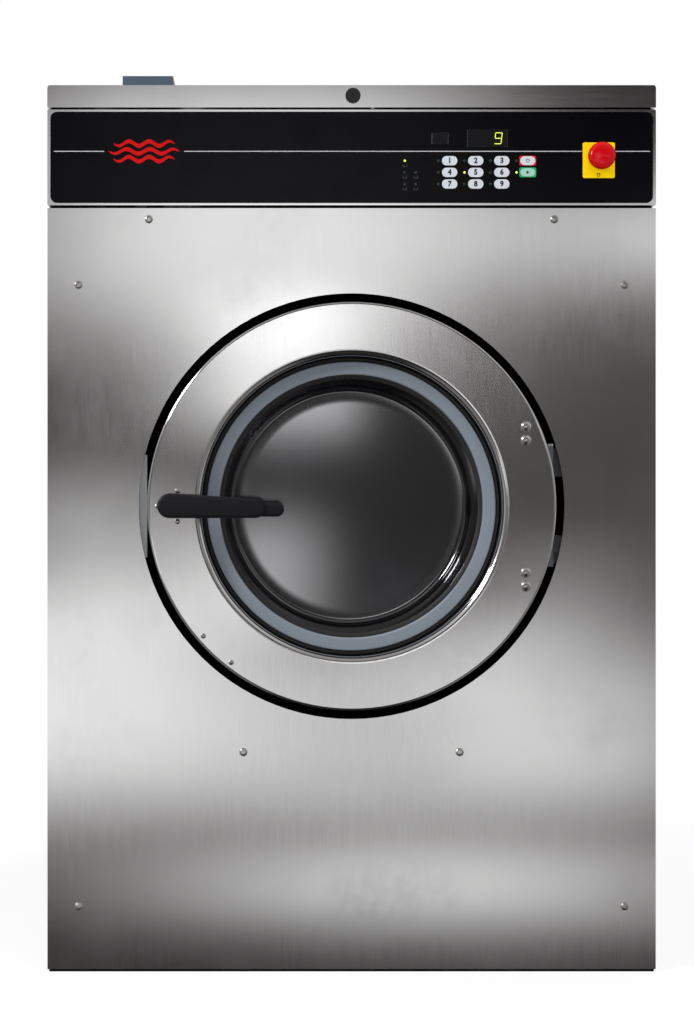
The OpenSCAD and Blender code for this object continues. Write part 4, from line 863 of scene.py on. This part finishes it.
class WASHER_OT_stop_head(bpy.types.Operator):
    """Draw the emergency stop's mushroom head and the turning sign on its plate"""

    bl_idname = "washer.stop_head"
    bl_label = "Emergency Stop"

    def execute(self, context):
        low, high = box_of("estop_button")
        x, z, face = front_of("estop_button")
        r, back = (high.x - low.x) / 2, high.y
        rings = [(0, face)]
        for i in range(1, 9):
            t = i / 8
            rings.append((0.66 * r * t, face + 1.2 * MM * t * t))
        for i in range(1, 10):
            a = math.radians(8 + i * 82 / 9)
            rings.append((0.61 * r + 0.39 * r * math.sin(a), face + 1.1 * MM + 8 * MM * (1 - math.cos(a))))
        rings += [(r, face + 12.5 * MM), (0.97 * r, face + 14 * MM), (0.74 * r, face + 14.6 * MM),
                  (0.72 * r, back), *rings_from(0, back, ((5.3, 0), (5.3, -7), (0, -7)))]
        head = turn_profile("stop_mushroom", x, z, rings, 96)
        seat(smooth(head), "estop_head", "Stop Red", ("estop_button",))
        plate_low = box_of("estop_plate")[0]
        sign_x, sign_z = x - 0.5 * MM, plate_low.z + 4.6 * MM
        ring = torus("turning_sign", sign_x, plate_low.y - 0.05 * MM, sign_z, 2.0, 0.6, 32)
        apply_place(ring)
        edit(ring)
        bpy.ops.transform.resize(value=(1, 0.12, 1), center_override=(x, plate_low.y, sign_z))
        pick(ring, lambda co: co.z < sign_z - 0.8 * MM and abs(co.x - sign_x) < 1.3 * MM)
        bpy.ops.mesh.delete(type="VERT")
        select_all()
        bpy.ops.mesh.fill_holes(sides=0)
        tidy_mesh()
        foot = plate("turning_foot", sign_x, sign_z - 2.3 * MM, 2.4 * MM, 1.1 * MM,
                     plate_low.y - 0.1 * MM, plate_low.y, 0.3 * MM, 2)
        seat(join([ring, foot], "turning_sign"), "cabinet", "Print Dark")
        return {"FINISHED"}


class WASHER_OT_key_marks(bpy.types.Operator):
    """Print the digits on the number keys and the signs on the stop and start keys"""

    bl_idname = "washer.key_marks"
    bl_label = "Key Marks"

    def ring_sign(self, x, z, y):
        sign = torus("stop_sign", x, y - 0.12 * MM, z, 2.3, 0.45, 24)
        sign.scale = (1, 1, 0.15)
        apply_place(sign)
        return sign

    def arrow_sign(self, x, z, y):
        deselect()
        bpy.ops.mesh.primitive_cylinder_add(
            vertices=3, radius=2.9 * MM, depth=0.12 * MM, location=(x - 0.4 * MM, y - 0.14 * MM, z),
            rotation=(math.pi / 2, math.pi / 2, 0))
        sign = name_piece("start_sign")
        apply_place(sign)
        modify(sign, "BEVEL", width=0.3 * MM, segments=2, affect="EDGES", limit_method="ANGLE")
        return sign

    def execute(self, context):
        for n in range(1, 10):
            x, z, y = front_of(f"key_{n}")
            digit = marking(f"digit_{n}", str(n), x, z, sizes().digit_height, y, 0.05 * MM, 0.5 * MM, 0.92)
            seat(digit, f"key_{n}_cap", "Print Dark")
        for key, wide, high, material, draw_sign in (
                ("stop_key", 22.3, 13.0, "Key White", self.ring_sign),
                ("start_key", 21.5, 11.8, "Key Teal", self.arrow_sign)):
            x, z, y = front_of(key)
            pill = plate(f"{key}_pill", x, z, wide * MM, high * MM, y - 0.1 * MM, y, (high / 2 - 0.05) * MM, 10)
            seat(pill, f"{key}_cap", material)
            seat(draw_sign(x, z, y), f"{key}_cap", "Print Dark")
        return {"FINISHED"}


class WASHER_OT_overlay_print(bpy.types.Operator):
    """Print the pale line, the red waves and the small signs under the status lamps"""

    bl_idname = "washer.overlay_print"
    bl_label = "Overlay Print"

    def wave(self, name, x, z, length):
        """A ribbon with three waves along X."""
        deselect()
        bpy.ops.mesh.primitive_grid_add(
            x_subdivisions=60, y_subdivisions=1, size=1, location=(x, OVERLAY_Y, z), rotation=(math.pi / 2, 0, 0))
        piece = name_piece(name)
        piece.scale = (length, 6.2 * MM, 1)
        apply_place(piece)
        for vertex in piece.data.vertices:
            t = (vertex.co.x - x) / length
            taper = 1 - (2 * t) ** 4 * 0.75
            vertex.co.z = z + (vertex.co.z - z) * taper + 3.4 * MM * math.sin(3 * math.pi * 2 * t)
        modify(piece, "SOLIDIFY", thickness=sizes().print_depth, offset=1.0)
        return piece

    def execute(self, context):
        s = sizes()
        front = OVERLAY_Y - s.print_depth
        line_z = FASCIA_Z + 79.8 * MM
        strips = [
            plate("line", (left + right) / 2 * MM, line_z, (right - left) * MM, s.line_width,
                  front, OVERLAY_Y, 0.6 * MM, 3)
            for left, right in ((-440.4, -366), (-248, 341), (389.6, 441.6))]
        seat(join(strips, "overlay_line"), "cabinet", "Print Pale")
        waves = [self.wave(f"wave_{i}", -307 * MM, line_z + (i - 1) * 11.5 * MM, (104 - 14 * abs(i - 1)) * MM)
                 for i in range(3)]
        seat(join(waves, "overlay_waves"), "cabinet", "Print Red")
        signs = [
            plate("sign", column + dx * MM, ROW_Z + row * ROW_STEP - 6.6 * MM + dz * MM, w * MM, h * MM,
                  front, OVERLAY_Y, 0)
            for column, rows in STATUS_COLUMNS for row in rows
            for dx, dz, w, h in ((0, -1.8, 6.0, 0.6), (-2.7, 0, 0.6, 3.4), (2.7, 0, 0.6, 3.4))]
        seat(join(signs, "lamp_signs"), "cabinet", "Print Grey")
        return {"FINISHED"}


class WASHER_OT_display_digit(bpy.types.Operator):
    """Light one digit behind the display window, as slanted segments"""

    bl_idname = "washer.display_digit"
    bl_label = "Display Digit"

    def execute(self, context):
        y = box_of("display_window")[0].y
        w = sizes().segment_width
        x, z, wide, high = KEY_X + 72.1 * MM, FASCIA_Z + 99.1 * MM, 9.6 * MM, 16.2 * MM
        segments = [(0, high / 2, wide, w), (0, 0, wide, w), (0, -high / 2, wide, w),
                    (wide / 2, high / 4, w, high / 2), (wide / 2, -high / 4, w, high / 2),
                    (-wide / 2, high / 4, w, high / 2)]
        shorter = 0.35 * w
        bars = [
            plate("segment", x + dx, z + dz, sx - (shorter if sx > sz else 0), sz - (shorter if sz > sx else 0),
                  y - 0.1 * MM, y, 0.45 * w, 3)
            for dx, dz, sx, sz in segments]
        digit = join(bars, "display_digit")
        for vertex in digit.data.vertices:
            vertex.co.x += (vertex.co.z - z) * 0.12
        seat(digit, "cabinet", "Lamp Lit")
        return {"FINISHED"}


class WASHER_OT_lamps(bpy.types.Operator):
    """Set a lens over each lamp, three of them lit"""

    bl_idname = "washer.lamps"
    bl_label = "Lamps"

    def execute(self, context):
        r, y = sizes().lamp_radius, OVERLAY_Y
        rings = [(0, y - 0.75 * MM), (0.55 * r, y - 0.65 * MM), (0.9 * r, y - 0.4 * MM), (r, y - 0.1 * MM),
                 (r, y + 0.3 * MM), (0, y + 0.3 * MM)]
        places = []
        for n in range(1, 10):
            x, z, _ = front_of(f"key_{n}")
            places.append((x - KEY_LAMP, z, n == 5))
        for column, rows in STATUS_COLUMNS:
            places += [(column, ROW_Z + row * ROW_STEP, row == 2) for row in rows]
        places += [(KEY_X + SIDE_LAMP, ROW_Z + row * ROW_STEP, row == 1) for row in (1, 2)]
        for lit, name, material in ((True, "lamps_lit", "Lamp Glow"), (False, "lamps_dark", "Lamp Dark")):
            lens = join([turn_profile("lens", x, z, rings, 20) for x, z, glows in places if glows == lit], name)
            seat(smooth(lens, 50), "cabinet", material)
        return {"FINISHED"}


class WASHER_OT_rear_fittings(bpy.types.Operator):
    """Add the hose clamps, threads and sheet screws at the rear and sides"""

    bl_idname = "washer.rear_fittings"
    bl_label = "Rear Fittings"

    def clamp(self, x, z, y, radius):
        half = sizes().clamp_band / 2
        inner, outer = radius + 0.05 * MM, radius + 1.2 * MM
        return turn_profile("band", x, z, [
            (inner, y - half), (outer, y - half), (outer, y + half), (inner, y + half), (inner, y - half)], 64)

    def threads(self, x, z, start, end, radius):
        root = radius - 2.4 * MM
        rings, y = [(root, start), (radius, start)], start
        while y < end - 1.9 * MM:
            rings += rings_from(radius, y, ((0, 0.4), (-0.9, 0.9), (0, 1.4)))
            y += 1.8 * MM
        return turn_profile("thread", x, z, rings + [(radius, end), (root, end), (root, start)], 48)

    def execute(self, context):
        rear = box_of("rear_panel")[1].y - 3 * MM
        bands = join([self.clamp(-60 * MM, 190 * MM, rear + 36 * MM, 38 * MM),
                      self.clamp(-120 * MM, 1180 * MM, rear + 26 * MM, 25 * MM)], "outlet_bands")
        seat(smooth(bands), "cabinet", "Turned Steel")
        threads = join([self.threads(x * MM, 1225 * MM, rear + 6 * MM, rear + 28 * MM, 13.75 * MM)
                        for x in (20, 80, 140)], "inlet_threads")
        seat(smooth(threads, 30), "cabinet", "Turned Steel")
        heads = []
        for side in (-1, 1):
            heads += [(side * 437, z) for z in (60, 250, 440, 630, 820, 1010, 1200)]
            heads += [(side * 286, z) for z in (445, 674, 900)]
        heads += [(x, z) for x in (-200, 0, 200) for z in (408, 940)]
        screws = []
        for x, z in heads:
            on_cover = abs(x) < 300
            screws.append(turn_profile("sheet_screw", x * MM, z * MM, rings_from(
                0, rear + (3 * MM if on_cover else 0),
                ((0, 1.4), (1.0, 1.4), (1.2, 2.3), (2.6, 2.1), (4, 1.0), (4.2, 0), (0, 0))), 16))
        screws = join(screws, "rear_screws")
        seat(smooth(screws), "cabinet", "Turned Steel")
        return {"FINISHED"}


class WASHER_OT_stage(bpy.types.Operator):
    """Set the floor, the studio light and the camera"""

    bl_idname = "washer.stage"
    bl_label = "Stage"

    def softbox_group(self):
        """A soft-edged rectangle of light, in slopes across and up."""
        sockets = ("Across", "Up", *SOFT_BOX_SOCKETS)
        tree, given, out = start_group("Soft Box", {label: 0.0 for label in sockets}, ("Light",))

        def ramp(value, edge, soft, low, high):
            half = tree.times(given[soft], 0.5)
            start, end = tree.math("SUBTRACT", given[edge], half), tree.plus(given[edge], half)
            return tree.spread(given[value], start, end, low, high, True)

        across = tree.times(ramp("Across", "Left", "Side", 0.0, 1.0), ramp("Across", "Right", "Side", 1.0, 0.0))
        up = tree.times(ramp("Up", "Low", "Rim", 0.0, 1.0), ramp("Up", "High", "Rim", 1.0, 0.0))
        tree.fill(out, {"Light": tree.times(tree.times(across, up), given["Power"])})

    def light_room(self):
        """Soft boxes around the machine, told by direction, and a white backdrop."""
        self.softbox_group()
        world = bpy.data.worlds.new("Studio")
        bpy.context.scene.world = world
        world.use_nodes = True
        world.node_tree.nodes.clear()
        tree = Tree(world.node_tree)
        way = tree.xyz(tree.add("ShaderNodeTexCoord").outputs["Generated"])
        ahead = tree.math("MAXIMUM", tree.times(way[1], -1.0), 0.02)
        across, up = tree.math("DIVIDE", way[0], ahead), tree.math("DIVIDE", way[2], ahead)
        total = 0.0
        for box in SOFT_BOXES:
            light = tree.group("Soft Box", Across=across, Up=up, **dict(zip(SOFT_BOX_SOCKETS, box)))
            total = tree.plus(total, light["Light"])
        front = tree.spread(way[1], 0.05, -0.05)
        aside = tree.math("ABSOLUTE", way[0])
        lit = tree.plus(tree.times(total, front), 0.03)
        for glow in (
                tree.spread(aside, 0.86, 0.99, 0.0, SIDE_GLOW, True),
                tree.spread(way[1], 0.15, 0.6, 0.0, REAR_GLOW, True),
                tree.times(tree.spread(up, 0.4, 0.7, 0.0, TOP_GLOW, True), front),
                tree.times(tree.spread(aside, 0.25, 0.5, 0.0, OBLIQUE_GLOW, True), front)):
            lit = tree.plus(lit, glow)
        tint = tree.mix(tree.spread(lit, 0.05, 0.6), (1.0, 0.93, 0.9, 1), (1.0, 1.0, 1.0, 1))
        room = tree.add("ShaderNodeBackground", {"Color": tint, "Strength": lit}).outputs[0]
        backdrop = tree.add("ShaderNodeBackground", {"Color": (1, 1, 1, 1), "Strength": 1.0}).outputs[0]
        seen = tree.add("ShaderNodeLightPath").outputs["Is Camera Ray"]
        mixed = tree.add("ShaderNodeMixShader", {0: seen, 1: room, 2: backdrop}).outputs[0]
        tree.add("ShaderNodeOutputWorld", {"Surface": mixed})

    def execute(self, context):
        self.light_room()
        deselect()
        bpy.ops.mesh.primitive_plane_add(size=40, location=(0, 0, -0.4 * MM))
        floor = name_piece("studio_floor")
        tree, shader, place = start_material("Studio Floor")
        away = tree.add("ShaderNodeVectorMath", {0: place}, operation="LENGTH").outputs["Value"]
        far = tree.spread(away, 0.6, 1.6, 0.8, 1.0, True)
        pale = tree.mix(tree.noise(place, 2.0), (0.86, 0.86, 0.865, 1), (0.9, 0.9, 0.905, 1))
        tree.fill(shader, {
            "Base Color": tree.mix(far, pale, (0, 0, 0, 1)), "Emission Color": (1, 1, 1, 1),
            "Emission Strength": far, "Specular IOR Level": 0.0, "Roughness": 0.8})
        wear(floor.data, "Studio Floor")
        floor.visible_glossy = False
        for name, place, aim, size, power, mirrored in (
                ("overhead", (0, -1.2, 4.2), (0, 0, 0.2), 4.0, 150, False),
                ("left", (-3.0, -2.2, 2.6), (0, -0.4, 0.8), 0.8, 75, True),
                ("rear", (1.6, 3.4, 2.8), (0, 0.4, 0.7), 2.0, 90, False)):
            bpy.ops.object.light_add(type="AREA", location=place)
            lamp = bpy.context.object
            lamp.name = f"{name}_softbox"
            lamp.data.size = size
            lamp.data.energy = power
            lamp.visible_glossy = mirrored
            lamp.rotation_euler = (Vector(aim) - Vector(place)).to_track_quat("-Z", "Y").to_euler()
        bpy.ops.object.camera_add(location=(CAMERA_X, -3.0, CAMERA_Z), rotation=(math.pi / 2, 0, 0))
        scene, camera = bpy.context.scene, bpy.context.object
        camera.data.lens = LENS
        camera.data.sensor_width = SENSOR
        camera.data.shift_x = (VIEW_X - CAMERA_X) / CAMERA_AWAY * LENS / SENSOR
        camera.data.shift_y = (VIEW_Z - CAMERA_Z) / CAMERA_AWAY * LENS / SENSOR
        scene.camera = camera
        scene.view_settings.view_transform = "Standard"
        scene.view_settings.look = "None"
        return {"FINISHED"}


class WASHER_PT_panel(bpy.types.Panel):
    """Lists the washer's parts and settings"""

    bl_idname = "WASHER_PT_panel"
    bl_label = "Washer-Extractor"
    bl_space_type = "VIEW_3D"
    bl_region_type = "UI"
    bl_category = "Washer"

    def draw(self, context):
        for step in STEPS:
            self.layout.operator(step.bl_idname)
        for group in (context.scene.washer_sizes, context.scene.washer_colours):
            box = self.layout.box()
            for name in group.bl_rna.properties.keys():
                if name not in ("rna_type", "name"):
                    box.prop(group, name)


STEPS = (
    WASHER_OT_stage,
    WASHER_OT_groups,
    WASHER_OT_finishes,
    WASHER_OT_dress_cabinet,
    WASHER_OT_dress_drum,
    WASHER_OT_dress_door,
    WASHER_OT_bowl,
    WASHER_OT_handle,
    WASHER_OT_screws,
    WASHER_OT_stop_head,
    WASHER_OT_key_marks,
    WASHER_OT_overlay_print,
    WASHER_OT_display_digit,
    WASHER_OT_lamps,
    WASHER_OT_rear_fittings,
)
CLASSES = (WasherSizes, WasherColours, *STEPS, WASHER_PT_panel)


def register():
    for cls in CLASSES:
        bpy.utils.register_class(cls)
    bpy.types.Scene.washer_sizes = bpy.props.PointerProperty(type=WasherSizes)
    bpy.types.Scene.washer_colours = bpy.props.PointerProperty(type=WasherColours)


def unregister():
    del bpy.types.Scene.washer_colours
    del bpy.types.Scene.washer_sizes
    for cls in reversed(CLASSES):
        bpy.utils.unregister_class(cls)


def main():
    register()
    for step in STEPS:
        group, name = step.bl_idname.split(".")
        getattr(getattr(bpy.ops, group), name)()


if __name__ == "__main__":
    main()
